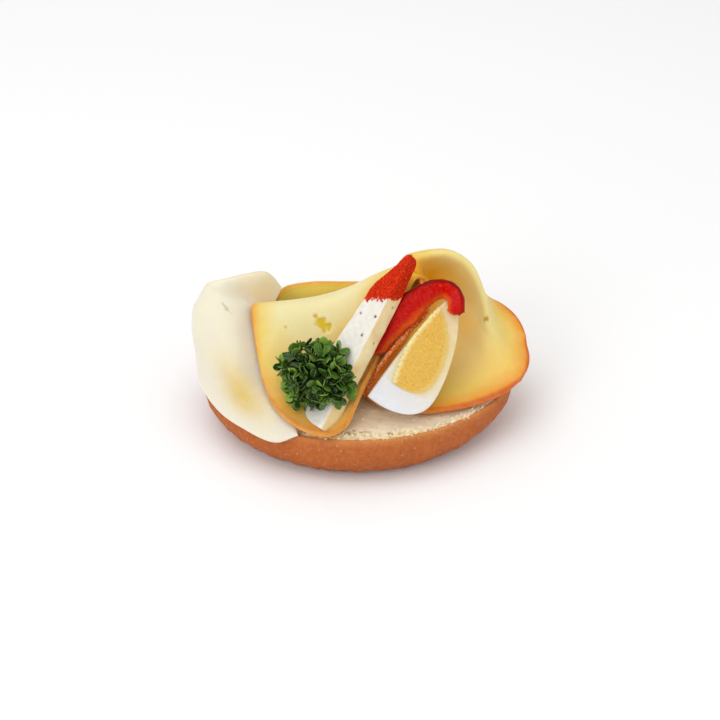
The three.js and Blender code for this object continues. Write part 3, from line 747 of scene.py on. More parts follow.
leftSlice = {
    "rows": [
        [[-35.8, -21.4, 31.6], [-33.2, -28.6, 27.6], [-28.4, -35.4, 25.2], [-22.4, -40.0, 23.6],
         [-15.0, -42.6, 22.4], [-9.8, -42.4, 22.0], [-5.9, -39.6, 22.4], [-3.3, -36.6, 26.0]],
        [[-37.8, -14.4, 36.0], [-33, -20, 33.0], [-26.5, -25.5, 29.6], [-19.5, -28.5, 26.6],
         [-12.5, -29, 24.6], [-7.5, -29, 24.4], [-1.8, -29.4, 28.0], [2.0, -25.9, 32.3]],
        [[-40.0, -4.2, 42.4], [-33.6, -5.8, 42.0], [-26.0, -6.8, 40.2], [-18, -7.5, 37.4],
         [-10, -8, 34.6], [-1, -8, 35.0], [5.4, -7.4, 36.5], [11.6, -3.2, 38.5]],
        [[-40.8, 3.0, 47.0], [-33.7, 4.6, 46.4], [-24.0, 6.0, 46.4], [-14, 7.4, 47.0],
         [-4, 9.0, 50.2], [5.5, 10.8, 54.9], [13.6, 12.4, 57.6], [21.6, 11.2, 54.2]],
        [[-39.8, 7.0, 45.4], [-32.6, 9.8, 43.8], [-23.5, 13, 42.6], [-13, 16, 42.2],
         [-3, 18, 44.0], [7, 19, 47.0], [17, 19, 50.2], [24.2, 13.6, 53.9]],
        [[-38.8, 9.6, 44.0], [-31.0, 14.4, 37.0], [-21.8, 21, 26.0], [-12, 24, 22.0],
         [-2, 26, 22.0], [8, 27, 22.6], [18, 26.5, 30.0], [28.0, 17.4, 48.4]]],
    "thickness": 1.9, "size": (110, 70), "grid": (150, 110), "seed": 50,
    "eyes": [(0.483, 0.471, 5.8, 1.25), (0.45, 0.242, 1.3, 1.0)], "fade": (0.5, 1.0, 1.7, 1.0),
    "warm": [(0.40, 0.66, 0.09, 0.12, 0.95), (0.5, 0.76, 0.08, 0.1, 0.7), (0.27, 0.42, 0.14, 0.26, 0.6),
             (0.64, 0.97, 0.2, 0.06, 0.9)], "warmShadeSides": (1, 1)}
hoodSlice = {
    "rows": [
        [[1.0, -18.6, 22.4], [8.0, -25.0, 21.8], [18.5, -28.4, 21.8], [30.5, -28.2, 21.8],
         [42.5, -24.8, 21.9], [52.0, -20.0, 22.2], [57.4, -16.2, 22.9], [61.6, -11.8, 24.2]],
        [[6.7, -16.3, 33.3], [13.5, -13.0, 24.6], [22.0, -13.5, 22.4], [32.5, -14.5, 22.4],
         [42.5, -14.0, 23.4], [50.0, -12.0, 24.4], [57.4, -10.8, 25.0], [63.8, -8.0, 24.8]],
        [[17.4, -8.0, 43.0], [21.5, 8.0, 29.0], [28.5, 11.0, 27.0], [37.0, 7.0, 27.5],
         [43.5, 1.0, 28.6], [49.5, -3.5, 29.0], [57.2, -6.2, 27.2], [64.9, -4.6, 25.4]],
        [[26.4, 2.0, 48.4], [24.5, 23.5, 45.0], [31.4, 23.6, 46.4], [39.2, 19.0, 44.6],
         [45.2, 8.5, 38.5], [49.6, 1.0, 33.6], [57.2, -2.0, 28.8], [65.3, -1.4, 26.0]],
        [[17.6, 22.4, 55.0], [24.5, 20.6, 58.6], [33.9, 19.0, 60.8], [42.0, 17.0, 56.6],
         [47.6, 10.6, 47.0], [50.6, 3.4, 37.0], [57.4, 2.0, 30.0], [65.2, 1.6, 26.7]],
        [[18.0, 29.0, 51.5], [24.5, 28.8, 54.0], [33.8, 27.0, 55.0], [42.0, 24.6, 50.6],
         [47.4, 19.4, 41.6], [53.6, 10.6, 35.6], [59.4, 7.2, 31.2], [64.6, 4.8, 27.8]],
        [[15.0, 37.5, 22.5], [23.0, 38.4, 22.5], [34.0, 37.6, 23.0], [44.5, 33.0, 25.5],
         [52.4, 25.2, 34.0], [58.8, 18.8, 33.8], [62.4, 13.6, 32.2], [64.4, 8.2, 29.4]]],
    "thickness": 1.9, "size": (120, 75), "grid": (160, 120), "seed": 60,
    "eyes": [(0.612, 0.648, 3.0, 1.0), (0.592, 0.655, 1.7, 0.6)], "ragged": 0.1, "fade": (0.7, 1.0, 1.3, 1.0),
    "wet": 2.2,
    "warm": [(0.51, 0.18, 0.11, 0.26, 1.0), (0.3, 0.2, 0.3, 0.2, 0.9), (0.42, 0.5, 0.07, 0.1, 0.3)],
    "warmShadeSides": (1, 1)}
mildSlice = {
    "rows": [
        [[-22.5, -40.4, 20.7], [-31.0, -39.4, 16.2], [-44.0, -31.6, 17.0], [-53.6, -21.6, 17.6],
         [-60.0, -10.0, 20.0], [-61.6, -1.0, 21.6]],
        [[-23.5, -35.0, 21.4], [-32.0, -32.6, 22.4], [-42.4, -26.6, 22.8], [-51.4, -18.4, 23.6],
         [-59.0, -8.0, 25.6], [-62.0, 2.0, 26.5]],
        [[-30.0, -19.0, 26.0], [-38.0, -19.0, 29.4], [-46.0, -16.6, 34.0], [-54.0, -11.0, 36.6],
         [-61.4, -3.0, 37.6], [-63.0, 6.0, 36.0]],
        [[-34.5, -4.5, 35.5], [-41.2, -4.0, 39.6], [-47.6, -3.6, 45.2], [-54.2, -1.4, 47.2],
         [-60.4, 2.6, 46.6], [-62.2, 9.5, 43.0]],
        [[-35.5, 4.0, 40.0], [-39.8, 4.4, 42.4], [-46.0, 4.2, 47.4], [-53.0, 5.0, 50.6],
         [-58.8, 7.6, 49.6], [-60.6, 12.0, 44.5]],
        [[-33.4, 13.0, 39.6], [-38.6, 11.8, 42.4], [-45.4, 10.4, 46.4], [-52.0, 9.4, 50.6],
         [-57.6, 10.4, 50.4], [-59.6, 14.5, 45.0]],
        [[-30.4, 20.0, 43.2], [-35.8, 18.8, 50.8], [-43.6, 16.4, 51.8], [-51.0, 13.2, 52.2],
         [-56.8, 12.8, 50.8], [-58.6, 17.0, 45.0]],
        [[-31.8, 24.0, 38.6], [-37.0, 23.0, 43.4], [-45.0, 20.4, 43.0], [-52.0, 17.4, 42.0],
         [-57.0, 16.6, 39.6], [-58.2, 18.6, 35.0]],
        [[-33.4, 29.4, 21.8], [-39.0, 27.4, 21.6], [-46.0, 23.4, 21.6], [-52.0, 18.4, 21.6],
         [-56.4, 13.6, 21.6], [-58.6, 9.0, 21.6]]],
    "thickness": 2.2, "size": (110, 55), "grid": (170, 90), "seed": 70,
    "eyes": [(0.433, 0.492, 2.2, 1.6)], "fade": (1.0, 1.0, 1.4, 1.0),
    "warm": [(0.17, 0.4, 0.085, 0.17, 1.0), (0.68, 0.2, 0.1, 0.24, 0.42)], "warmShadeSides": (1, 1), "dent": 0.35}
backSlice = {
    "rows": [
        [[-33.6, 26.0, 31.0], [-29.8, 26.4, 39.2], [-18.5, 27.4, 41.4], [-8.0, 28.6, 40.8],
         [4.0, 29.6, 39.8]],
        [[-33.0, 26.8, 27.8], [-24.5, 27.6, 30.6], [-15.5, 28.6, 31.5], [-6.0, 29.8, 31.5],
         [5.0, 30.8, 31.0]],
        [[-29.5, 30.2, 22.4], [-22.5, 30.6, 22.0], [-14.0, 31.4, 22.0], [-5.0, 32.2, 22.0],
         [6.0, 32.6, 22.0]],
        [[-28.5, 33.6, 25.0], [-21.5, 34.6, 25.6], [-13.0, 35.2, 25.6], [-4.5, 35.4, 25.6],
         [6.0, 35.0, 25.0]],
        [[-28.0, 35.0, 27.4], [-21.0, 36.6, 31.0], [-13.0, 37.2, 32.0], [-4.5, 37.4, 31.6],
         [6.0, 36.4, 29.6]]],
    "thickness": 1.9, "size": (32, 36), "grid": (80, 80), "seed": 80,
    "eyes": [], "fade": (0.3, 0.4, 0.3, 0.4), "warm": [(0.2, 0.5, 0.12, 0.5, 0.35)], "warmShadeSides": (1, 1)}

for pieceName, settings, tones, slotName, node in (
        ("leftSlice", leftSlice, leftTones, "smoked_cheese", "smoked_cheese_left"),
        ("hoodSlice", hoodSlice, hoodTones, "smoked_cheese", "smoked_cheese_right"),
        ("backSlice", backSlice, backTones, "smoked_cheese", "smoked_cheese_back"),
        ("mildSlice", mildSlice, mildTones, "mild_cheese", "mild_cheese")):
    finishPiece(makeSlice(pieceName, settings), cheeseFinish(pieceName + "Cheese", tones), slotName, node)


# the wedge of soft white cheese

wedge = {"length": 73.6, "baseWidth": 16.6, "shoulder": 10.4, "thickness": 8.0, "tipRadius": 2.1,
         "heelRound": 10.5, "taper": 20.0, "nose": 4.2, "tipThickness": 0.62, "noseDepth": 0.55,
         "turn": 40.0, "tip": (18.8, 4.2, 70.2), "heel": (-14.0, -42.6, 25.8), "dustLine": 41.6,
         "square": 0.16, "pores": [(45.7, 8.6, 0.0, 0.9), (46.5, 1.4, 0.0, 1.5), (38.1, 3.2, 0.0, 1.3),
                                   (52.6, 0.0, -5.2, 1.0), (37.5, 0.0, -4.8, 0.9), (60.5, 3.0, 0.0, 0.8)]}


def wedgeFrame():
    tip, heel = np.array(wedge["tip"]), np.array(wedge["heel"])
    along = unitVector(tip - heel)
    facing = np.array([0, -0.788, 0.616])
    facing = unitVector(facing - along * (facing @ along))
    side = np.cross(facing, along)
    turn = math.radians(wedge["turn"])
    normal = unitVector(facing * math.cos(turn) + side * math.sin(turn))
    across = unitVector(np.cross(normal, along))
    return heel, along, across, normal


def wedgeWidths(x):
    # full width and depth of the wedge at a distance from its heel, and how far its tip has closed
    start = wedge["length"] - wedge["taper"]
    base, shoulder = wedge["baseWidth"], wedge["shoulder"]
    heelCurve = np.sqrt(np.maximum(1 - (1 - np.minimum(x / wedge["heelRound"], 1)) ** 2, 0.004))
    side = base + (shoulder - base) * np.maximum((x - wedge["heelRound"]) / (start - wedge["heelRound"]), 0)
    tip = shoulder + (2 * wedge["tipRadius"] - shoulder) * smoothStep(start, wedge["length"] - 1, x)
    width = np.where(x < start, side, tip) * heelCurve
    closing = np.maximum(x - (wedge["length"] - wedge["nose"]), 0) / wedge["nose"]
    round_ = np.sqrt(np.maximum(1 - closing ** 2, 0.0004))
    thin = 1 - (1 - wedge["tipThickness"]) * smoothStep(start, wedge["length"], x)
    depth = wedge["thickness"] * thin * (wedge["noseDepth"] + (1 - wedge["noseDepth"]) * round_)
    return width, depth, round_


def squareRing(count, power):
    # a square with round corners, as evenly spaced points
    turn = np.linspace(0, 2 * math.pi, 4001)
    c = np.sign(np.cos(turn)) * np.abs(np.cos(turn)) ** power
    s = np.sign(np.sin(turn)) * np.abs(np.sin(turn)) ** power
    run = np.concatenate([[0], np.cumsum(np.hypot(np.diff(c), np.diff(s)))])
    even = np.linspace(0, run[-1], count, endpoint=False)
    return np.interp(even, run, c), np.interp(even, run, s)


def makeWedge():
    length = wedge["length"]
    even = np.linspace(0, 1, 190)
    x = length * (1 - (1 - even) ** 1.5)
    x = np.unique(np.concatenate([x, length - 0.5 * np.linspace(0, 1, 8) ** 2]))
    width, depth, round_ = wedgeWidths(x)
    heel, along, across, normal = wedgeFrame()
    c, s = squareRing(150, wedge["square"])
    thickness = wedge["thickness"]
    heelRound = np.sqrt(1 - 0.25 * (1 - np.minimum(x / 1.2, 1)) ** 2)
    halfDepth = depth / 2 * heelRound
    y = width[:, None] / 2 + (width * round_)[:, None] / 2 * c[None]
    z = -thickness / 2 + halfDepth[:, None] * s[None]
    local = np.stack([np.broadcast_to(x[:, None], y.shape), y, z], -1)
    soft = 0.10 * waves(local, 8, 90) + 0.035 * waves(local, 2.2, 91)
    cut = 1 - smoothStep(0.8, 0.95, np.abs(s))[None]
    crumbly = 0.07 * waves(local, 1.1, 92, 20) * cut
    pore = np.zeros(y.shape)
    for poreX, poreY, poreZ, size in wedge["pores"]:
        away = np.linalg.norm(local - np.array([poreX, poreY, poreZ]), axis=-1) / (size / 2)
        pore = np.maximum(pore, 1 - smoothStep(0.7, 1.1, away + 0.3 * waves(local, 0.9, 93)))
    outward = np.stack([np.zeros_like(y), np.broadcast_to(c * cut, y.shape),
                        np.broadcast_to(s * (1 - cut), y.shape)], -1)
    local = local + unitVector(outward) * (soft + crumbly - 0.5 * pore - 0.08)[..., None]
    place = heel + local[..., :1] * along + local[..., 1:2] * across + local[..., 2:3] * normal
    ragged = 0.45 * waves(place, 2.0, 94) + 0.4 * waves(place, 0.8, 95)
    level = place @ np.array([0, 0.6157, 0.788]) - wedge["dustLine"] + ragged
    dusted = smoothStep(-0.15, 0.25, level)
    sprinkled = smoothStep(-1.6, 0.4, level)
    return ringPiece("softWedge", place, {"cut": np.broadcast_to(cut, y.shape), "pore": pore,
                                          "paprika": dusted, "where": dusted * 0.93 + sprinkled * 0.07})


def wedgeFinish():
    finish = Finish("softWhiteCheese", Specular_IOR_Level=0.15, Subsurface_Weight=0.3,
                    Subsurface_Radius=(1.0, 0.8, 0.55), Subsurface_Scale=0.002)
    mottle = finish.noise(500, 4, 0.6)
    white = finish.blend(mottle.above(0.35, 0.7), shade(230, 225, 214), shade(241, 238, 230))
    cloudy = finish.noise(120, 2, 0.5)
    cream = finish.blend(cloudy.above(0.35, 0.7), shade(250, 234, 186), shade(241, 208, 146))
    tone = finish.blend(finish.reads("cut"), white, cream)
    # painted shade: the small holes are coloured dark brown
    tone = finish.blend(finish.reads("pore"), tone, shade(134, 92, 44))
    fine = finish.noise(1600, 3, 0.7)
    red = finish.blend(fine.above(0.35, 0.65), shade(180, 18, 2), shade(226, 56, 8))
    tone = finish.blend(finish.reads("paprika"), tone, red)
    finish.feed("Base Color", tone)
    finish.feed("Roughness", 0.62 + 0.2 * mottle)
    finish.bump(fine, 0.3, 0.0003)
    return finish.material


def paprikaFinish():
    finish = Finish("paprikaGrains", Specular_IOR_Level=0.1, Roughness=0.45)
    tint = finish.noise(1500, 2, 0.6)
    # deep red to bright orange at random: partly the grains' own tones, partly painted highlight and shade
    tone = finish.ramp(tint, (0.3, shade(128, 8, 0)), (0.44, shade(214, 34, 2)), (0.56, shade(236, 58, 6)),
                       (0.7, shade(255, 132, 36)))
    finish.feed("Base Color", tone)
    finish.feed("Roughness", 0.35 + 0.4 * tint)
    return finish.material


paprika = {"Density": 4.2e6, "Smallest": 0.24, "Largest": 0.58, "Lean": 3.0, "Apart": 0.0003, "Seed": 9}
wedgePiece = finishPiece(makeWedge(), wedgeFinish(), "soft_cheese", "camembert_wedge")
grain = grainMesh("paprikaGrain", 97, 0.35)
paprikaMaterial = paprikaFinish()
coatPiece = scatterOver("paprikaCoat", wedgePiece, grain, paprikaMaterial, paprika)
finishPiece(coatPiece, paprikaMaterial, "pepper")
dropObject(grain)


# the piece of egg

egg = {"length": 50.5, "radius": 20.4, "widest": 0.26, "sector": 62.0, "blunt": 2.2, "fine": 1.5, "bow": 1.1,
       "heel": (3.2, -30.2, 31.0), "point": (33.6, -3.4, 57.2), "across": (0.772, -0.391, -0.501)}
yolk = {"start": 9.8, "length": 33.0, "radius": 16.2, "widest": 0.32, "blunt": 3.0, "fine": 1.6,
        "proud": 0.1, "pocket": 1.2, "fromAxis": 4.2, "fromAxisTo": 30.0}


def eggFrame():
    heel, point = np.array(egg["heel"]), np.array(egg["point"])
    along = unitVector(point - heel)
    across = np.array(egg["across"])
    across = unitVector(across - along * (across @ along))
    behind = unitVector(np.cross(along, across))
    if behind[1] < 0:
        behind = -behind
    return heel, along, across, behind


def ovalRadius(t, radius, widest, blunt, fine):
    reach = np.abs(t - widest) / np.where(t < widest, widest, 1 - widest)
    power = np.where(t < widest, blunt, fine)
    return radius * np.maximum(1 - np.minimum(reach, 1) ** power, 0) ** (1 / power)


def sectorRing(counts):
    # points round a pie-slice section, each as (share of the radius, share of the angle)
    inner, outer = counts
    share = np.linspace(0, 1, inner)
    arc = np.linspace(0, 1, outer)
    distance = np.concatenate([share, np.ones(outer - 2), share[::-1][:-1]])
    angle = np.concatenate([np.zeros(inner), arc[1:-1], np.ones(inner - 1)])
    return distance, angle


def placeInEgg(local):
    # the edge along the axis bows out a little, as a hand-cut edge does
    heel, along, across, behind = eggFrame()
    share = np.clip(local[..., :1] / egg["length"], 0, 1)
    distance = np.linalg.norm(local[..., 1:], axis=-1, keepdims=True)
    bow = egg["bow"] * np.sin(math.pi * share) * (1 - smoothStep(0, 10, distance))
    local = np.concatenate([local[..., :1], local[..., 1:2] - bow, local[..., 2:]], -1)
    return heel + local[..., :1] * along + local[..., 1:2] * across + local[..., 2:3] * behind


def yolkStart(x):
    # the yolk lies a little off the axis, so near the heel it starts away from the cut edge
    share = np.clip((x - yolk["start"]) / (yolk["fromAxisTo"] - yolk["start"]), 0, 1)
    return yolk["fromAxis"] * (1 - share) ** 1.6


def makeWhite():
    t = 0.5 - 0.5 * np.cos(np.linspace(0.02, math.pi - 0.02, 170))
    x = t * egg["length"]
    radius = ovalRadius(t, egg["radius"], egg["widest"], egg["blunt"], egg["fine"])
    yolkT = (x - yolk["start"]) / yolk["length"]
    yolkRadius = np.where((yolkT > 0) & (yolkT < 1),
                          ovalRadius(np.clip(yolkT, 0, 1), yolk["radius"], yolk["widest"], yolk["blunt"],
                                     yolk["fine"]), 0)
    hidden = yolkStart(x)
    share, angle = sectorRing((64, 40))
    sector = math.radians(egg["sector"])
    distance = share[None] * radius[:, None]
    turn = np.broadcast_to(angle[None] * sector, distance.shape)
    inFace = (angle == 0) | (angle == 1)
    # soft corners: close to the outer edge and the axis the cut faces dip a little
    edge = np.minimum(distance, radius[:, None] - distance)
    dip = 0.35 * (1 - smoothStep(0, 0.9, edge)) * inFace[None]
    inside = np.minimum(yolkRadius[:, None] - distance, np.where(hidden > 0.4, 1, 9)[:, None] * (
        distance - hidden[:, None]))
    pocket = yolk["pocket"] * smoothStep(0.25, 1.4, inside) * inFace[None] * (yolkRadius[:, None] > 0)
    sink = dip + pocket
    y = distance * np.cos(turn)
    z = distance * np.sin(turn)
    faceY = np.where(angle[None] < 0.5, 0.0, math.sin(sector))
    faceZ = np.where(angle[None] < 0.5, 1.0, -math.cos(sector))
    room = np.minimum(sink, distance * math.tan(sector / 2) * 0.9 + 0.02)
    y = y + faceY * room
    z = z + faceZ * room
    local = np.stack([np.broadcast_to(x[:, None], y.shape), y, z], -1)
    local = local + unitVector(np.stack([np.zeros_like(y), y, z], -1)) * (
        0.06 * waves(local, 7, 100) * (~inFace)[None])[..., None]
    nearYolk = np.exp(-np.abs(inside) / 1.6) * (yolkRadius[:, None] > 0)
    return ringPiece("eggWhitePiece", placeInEgg(local),
                     {"nearYolk": nearYolk, "along": np.broadcast_to(t[:, None], y.shape)})


def makeYolk():
    t = 0.5 - 0.5 * np.cos(np.linspace(0.03, math.pi - 0.03, 190))
    x = yolk["start"] + t * yolk["length"]
    radius = ovalRadius(t, yolk["radius"], yolk["widest"], yolk["blunt"], yolk["fine"])
    share, angle = sectorRing((110, 40))
    sector = math.radians(egg["sector"])
    hidden = np.minimum(yolkStart(x), radius * 0.8)[:, None]
    distance = hidden + share[None] * (radius[:, None] - hidden)
    turn = np.broadcast_to(angle[None] * sector, distance.shape)
    inFace = ((angle == 0) | (angle == 1))[None]
    y, z = distance * np.cos(turn), distance * np.sin(turn)
    faceY = np.where(angle[None] < 0.5, 0.0, -math.sin(sector))
    faceZ = np.where(angle[None] < 0.5, -1.0, math.cos(sector))
    xs = np.broadcast_to(x[:, None], y.shape)
    flat = np.stack([xs, y, z], -1)
    near, label = cells(flat, 1.3, 110)
    grains = 0.05 * waves(flat, 0.9, 111, 20) + 0.05 * waves(flat, 2.4, 112)
    pits = 0.22 * (1 - smoothStep(0.1, 0.35, near)) * (label > 0.6)
    toAxis = 1 - smoothStep(0.2, 2.2, distance - hidden)
    crumbly = toAxis * 0.22 * waves(flat, 1.1, 113)
    round_ = 1 - smoothStep(0.0, 0.9, radius[:, None] - distance)
    lift = (yolk["proud"] * (1 - round_) + grains - pits + crumbly) * inFace
    lift = np.maximum(lift, -distance * 0.4)
    y = y + faceY * lift
    z = z + faceZ * lift
    local = np.stack([xs, y, z], -1)
    return ringPiece("eggYolkPiece", placeInEgg(local),
                     {"toAxis": toAxis, "pit": pits / 0.22, "toEdge": radius[:, None] - distance})


def whiteFinish():
    finish = Finish("eggWhite", Specular_IOR_Level=0.5, Subsurface_Weight=0.45,
                    Subsurface_Radius=(1.0, 0.9, 0.75), Subsurface_Scale=0.004, Roughness=0.22)
    along = finish.reads("along")
    tone = finish.ramp(along, (0.0, shade(230, 232, 238)), (0.24, shade(231, 227, 220)),
                       (0.45, shade(236, 224, 192)),
                       (0.7, shade(234, 214, 166)), (1.0, shade(234, 212, 158)))
    tone = finish.blend(finish.reads("nearYolk") * 0.9, tone, shade(236, 206, 130))
    cloudy = finish.noise(150, 2, 0.5)
    tone = finish.blend(cloudy.above(0.4, 0.8) * 0.2, tone, shade(246, 246, 248))
    finish.feed("Base Color", tone)
    finish.feed("Roughness", 0.2 + 0.14 * cloudy)
    finish.bump(finish.noise(700, 2, 0.5) * 0.4 + cloudy, 0.12, 0.0003)
    return finish.material


def yolkFinish():
    finish = Finish("eggYolk", Specular_IOR_Level=0.35, Subsurface_Weight=0.25,
                    Subsurface_Radius=(1.0, 0.6, 0.15), Subsurface_Scale=0.002)
    grains = finish.noise(1300, 4, 0.7)
    tone = finish.ramp(grains, (0.3, shade(218, 168, 62)), (0.5, shade(228, 182, 78)),
                       (0.8, shade(240, 206, 116)))
    tone = finish.blend(finish.reads("toAxis") * 0.9, tone, shade(248, 236, 176))
    # painted shade: the pits are coloured a darker orange
    tone = finish.blend(finish.reads("pit") * 0.5, tone, shade(226, 150, 30))
    edge = finish.reads("toEdge")
    tone = finish.blend((1 - edge.above(0.0, 2.2)) * 0.8, tone, shade(236, 208, 128))
    finish.feed("Base Color", tone)
    finish.feed("Roughness", 0.5 + 0.25 * grains)
    finish.bump(grains, 0.5, 0.0004)
    return finish.material


finishPiece(makeWhite(), whiteFinish(), "egg_white", "egg_white")
finishPiece(makeYolk(), yolkFinish(), "egg_yolk", "egg_yolk")


# the strip of red pepper

pepper = {"thickness": 4.4, "startWidth": 9.6, "midWidth": 11.4, "endWidth": 6.8, "steps": 260, "around": 96,
          "path": [(2.4, -11.6, 35.2), (10.7, -6.4, 44.1), (16.7, -3.4, 49.4), (22.8, 0.6, 53.1),
                   (28.7, 2.2, 55.9), (33.4, -0.5, 58.1), (36.1, -5.4, 57.6), (36.0, -9.7, 53.4)]}


def makePepper():
    fine = curveThrough(pepper["path"], np.linspace(0, 1, 1200))
    run = np.concatenate([[0], np.cumsum(np.linalg.norm(np.diff(fine, axis=0), axis=1))])
    u = np.linspace(0, 1, pepper["steps"])
    centre = np.stack([np.interp(u * run[-1], run, fine[:, k]) for k in range(3)], -1)
    tangent = unitVector(np.gradient(centre, axis=0))
    facing = np.array([-0.15, -0.8, 0.58])
    facing = unitVector(facing - tangent * (tangent @ facing)[:, None])
    upward = unitVector(np.cross(facing, tangent))
    width = np.where(u < 0.4, pepper["startWidth"] + (pepper["midWidth"] - pepper["startWidth"]) * u / 0.4,
                     pepper["midWidth"] + (pepper["endWidth"] - pepper["midWidth"])
                     * smoothStep(0.4, 0.85, u))
    width = width * (smoothStep(0, 0.12, u) * 0.75 + 0.25)
    close = np.sqrt(np.clip(u / 0.015, 0.02, 1)) * np.sqrt(np.clip((1 - u) / 0.02, 0.03, 1))
    turn = np.linspace(0, 2 * math.pi, pepper["around"], endpoint=False)
    c = (np.sign(np.cos(turn)) * np.abs(np.cos(turn)) ** 0.6)[None]
    s = (np.sign(np.sin(turn)) * np.abs(np.sin(turn)) ** 0.6)[None]
    up = c * (width * close)[:, None] / 2
    out = s * close[:, None] * pepper["thickness"] / 2
    rings = centre[:, None] + upward[:, None] * up[..., None] + facing[:, None] * out[..., None]
    skin = smoothStep(0.6, 0.72, c) * np.ones_like(up)
    flesh = (1 - skin)
    fibres = 0.1 * waves(rings, 1.8, 121) + 0.05 * waves(rings, 0.9, 122)
    lumps = 0.18 * waves(rings, 6, 120) + flesh * fibres
    end = smoothStep(0.93, 1.0, u)[:, None]
    torn = end * (0.5 * waves(rings, 2.2, 123) + 0.25 * waves(rings, 1.0, 124))
    outward = unitVector(rings - centre[:, None])
    rings = rings + outward * (lumps - 0.15)[..., None] + tangent[:, None] * torn[..., None]
    lowEdge = smoothStep(-0.2, -0.95, c) * np.ones_like(up)
    return ringPiece("pepperStrip", rings, {"skin": skin, "low": lowEdge,
                                            "along": u[:, None] * np.ones_like(up)})


def pepperFinish():
    finish = Finish("redPepper", Specular_IOR_Level=0.16, Subsurface_Weight=0.15,
                    Subsurface_Radius=(1.0, 0.15, 0.08), Subsurface_Scale=0.002)
    fine = finish.noise(1100, 3, 0.65)
    # the brightest stop paints small highlights on the flesh; the lower stops are the flesh's own reds
    flesh = finish.ramp(fine, (0.3, shade(176, 4, 0)), (0.55, shade(202, 10, 0)), (0.7, shade(222, 34, 6)),
                        (0.88, shade(255, 130, 70)))
    flesh = finish.blend(finish.reads("low") ** 1.6 * 0.62, flesh, shade(240, 116, 36))
    cloudy = finish.noise(130, 2, 0.5)
    skin = finish.blend(cloudy.above(0.35, 0.7), shade(132, 4, 0), shade(166, 14, 2))
    mask = finish.reads("skin")
    finish.feed("Base Color", finish.blend(mask, flesh, skin))
    finish.feed("Roughness", 0.2 + 0.22 * fine)
    finish.bump(fine * (1 - mask), 0.5, 0.0004)
    return finish.material


finishPiece(makePepper(), pepperFinish(), "pepper", "pepper_strip")


# the bunch of cress

cress = {"centre": (-15.4, -27.6, 38.7), "half": (15.4, 13.8, 10.5), "core": 0.5, "sprigs": 84,
         "leaflets": 5, "leaf": 4.6, "leafWidth": 3.2}
cressUp = np.array([0, 0.616, 0.788])
cressOut = np.array([0, -0.788, 0.616])


def leafletGrid(length, width, droop, dome):
    # one small leaf lying along x: a short stalk, then an oval blade that bulges upwards
    rows, columns = 11, 7
    v = np.linspace(0, 1, rows)
    w = np.linspace(-1, 1, columns)
    blade = np.sqrt(np.maximum(1 - ((v - 0.6) / 0.405) ** 2, 0))
    outline = np.maximum(blade, 0.16)
    x = length * v[:, None] * np.ones(columns)
    y = width / 2 * outline[:, None] * w[None]
    z = -droop * v[:, None] ** 2 - dome * (w[None] * outline[:, None]) ** 2 + 0.1 * np.abs(w[None]) - 0.1
    top = np.stack([x, y, z + 0.14], -1)
    under = np.stack([x, y, z - 0.14], -1)
    points = np.concatenate([top.reshape(-1, 3), under.reshape(-1, 3)])
    offset = rows * columns
    number = np.arange(offset).reshape(rows, columns)
    border = np.concatenate([number[:-1, 0], number[-1, :-1], number[:0:-1, -1], number[0, :0:-1]])
    follow = np.roll(border, -1)
    wall = np.stack([follow, border, border + offset, follow + offset], -1)
    faces = np.concatenate([gridFaces(rows, columns), gridFaces(rows, columns, offset)[:, ::-1], wall])
    return points, faces, np.concatenate([np.tile(np.abs(w), rows)] * 2)


def stemTube(start, end, thick, sides=6, steps=5):
    t = np.linspace(0, 1, steps)
    turn = np.linspace(0, 2 * math.pi, sides, endpoint=False)
    way = unitVector(end - start)
    first = unitVector(np.cross(way, [0.3, 0.5, 0.81]))
    second = np.cross(way, first)
    spine = start + (end - start) * t[:, None] + first * (0.25 * np.sin(math.pi * t))[:, None]
    ring = first * np.cos(turn)[:, None] + second * np.sin(turn)[:, None]
    points = (spine[:, None] + ring[None] * thick).reshape(-1, 3)
    caps = [list(range(sides))[::-1], list(range((steps - 1) * sides, steps * sides))]
    faces = [gridFaces(steps, sides, wrap=True)]
    for cap in caps:
        faces.append(np.array([[cap[0], cap[1], cap[2], cap[3]], [cap[0], cap[3], cap[4], cap[5]]]))
    return points, np.concatenate(faces)


def cressPlaces():
    # where sprigs grow out of the bunch: evenly over the side that shows and round its rim
    count = cress["sprigs"]
    k = np.arange(count)
    height = 1 - 1.55 * (k + 0.5) / count
    angle = k * math.pi * (3 - math.sqrt(5))
    flat = np.sqrt(1 - height ** 2)
    return np.stack([flat * np.cos(angle), flat * np.sin(angle), height], -1)


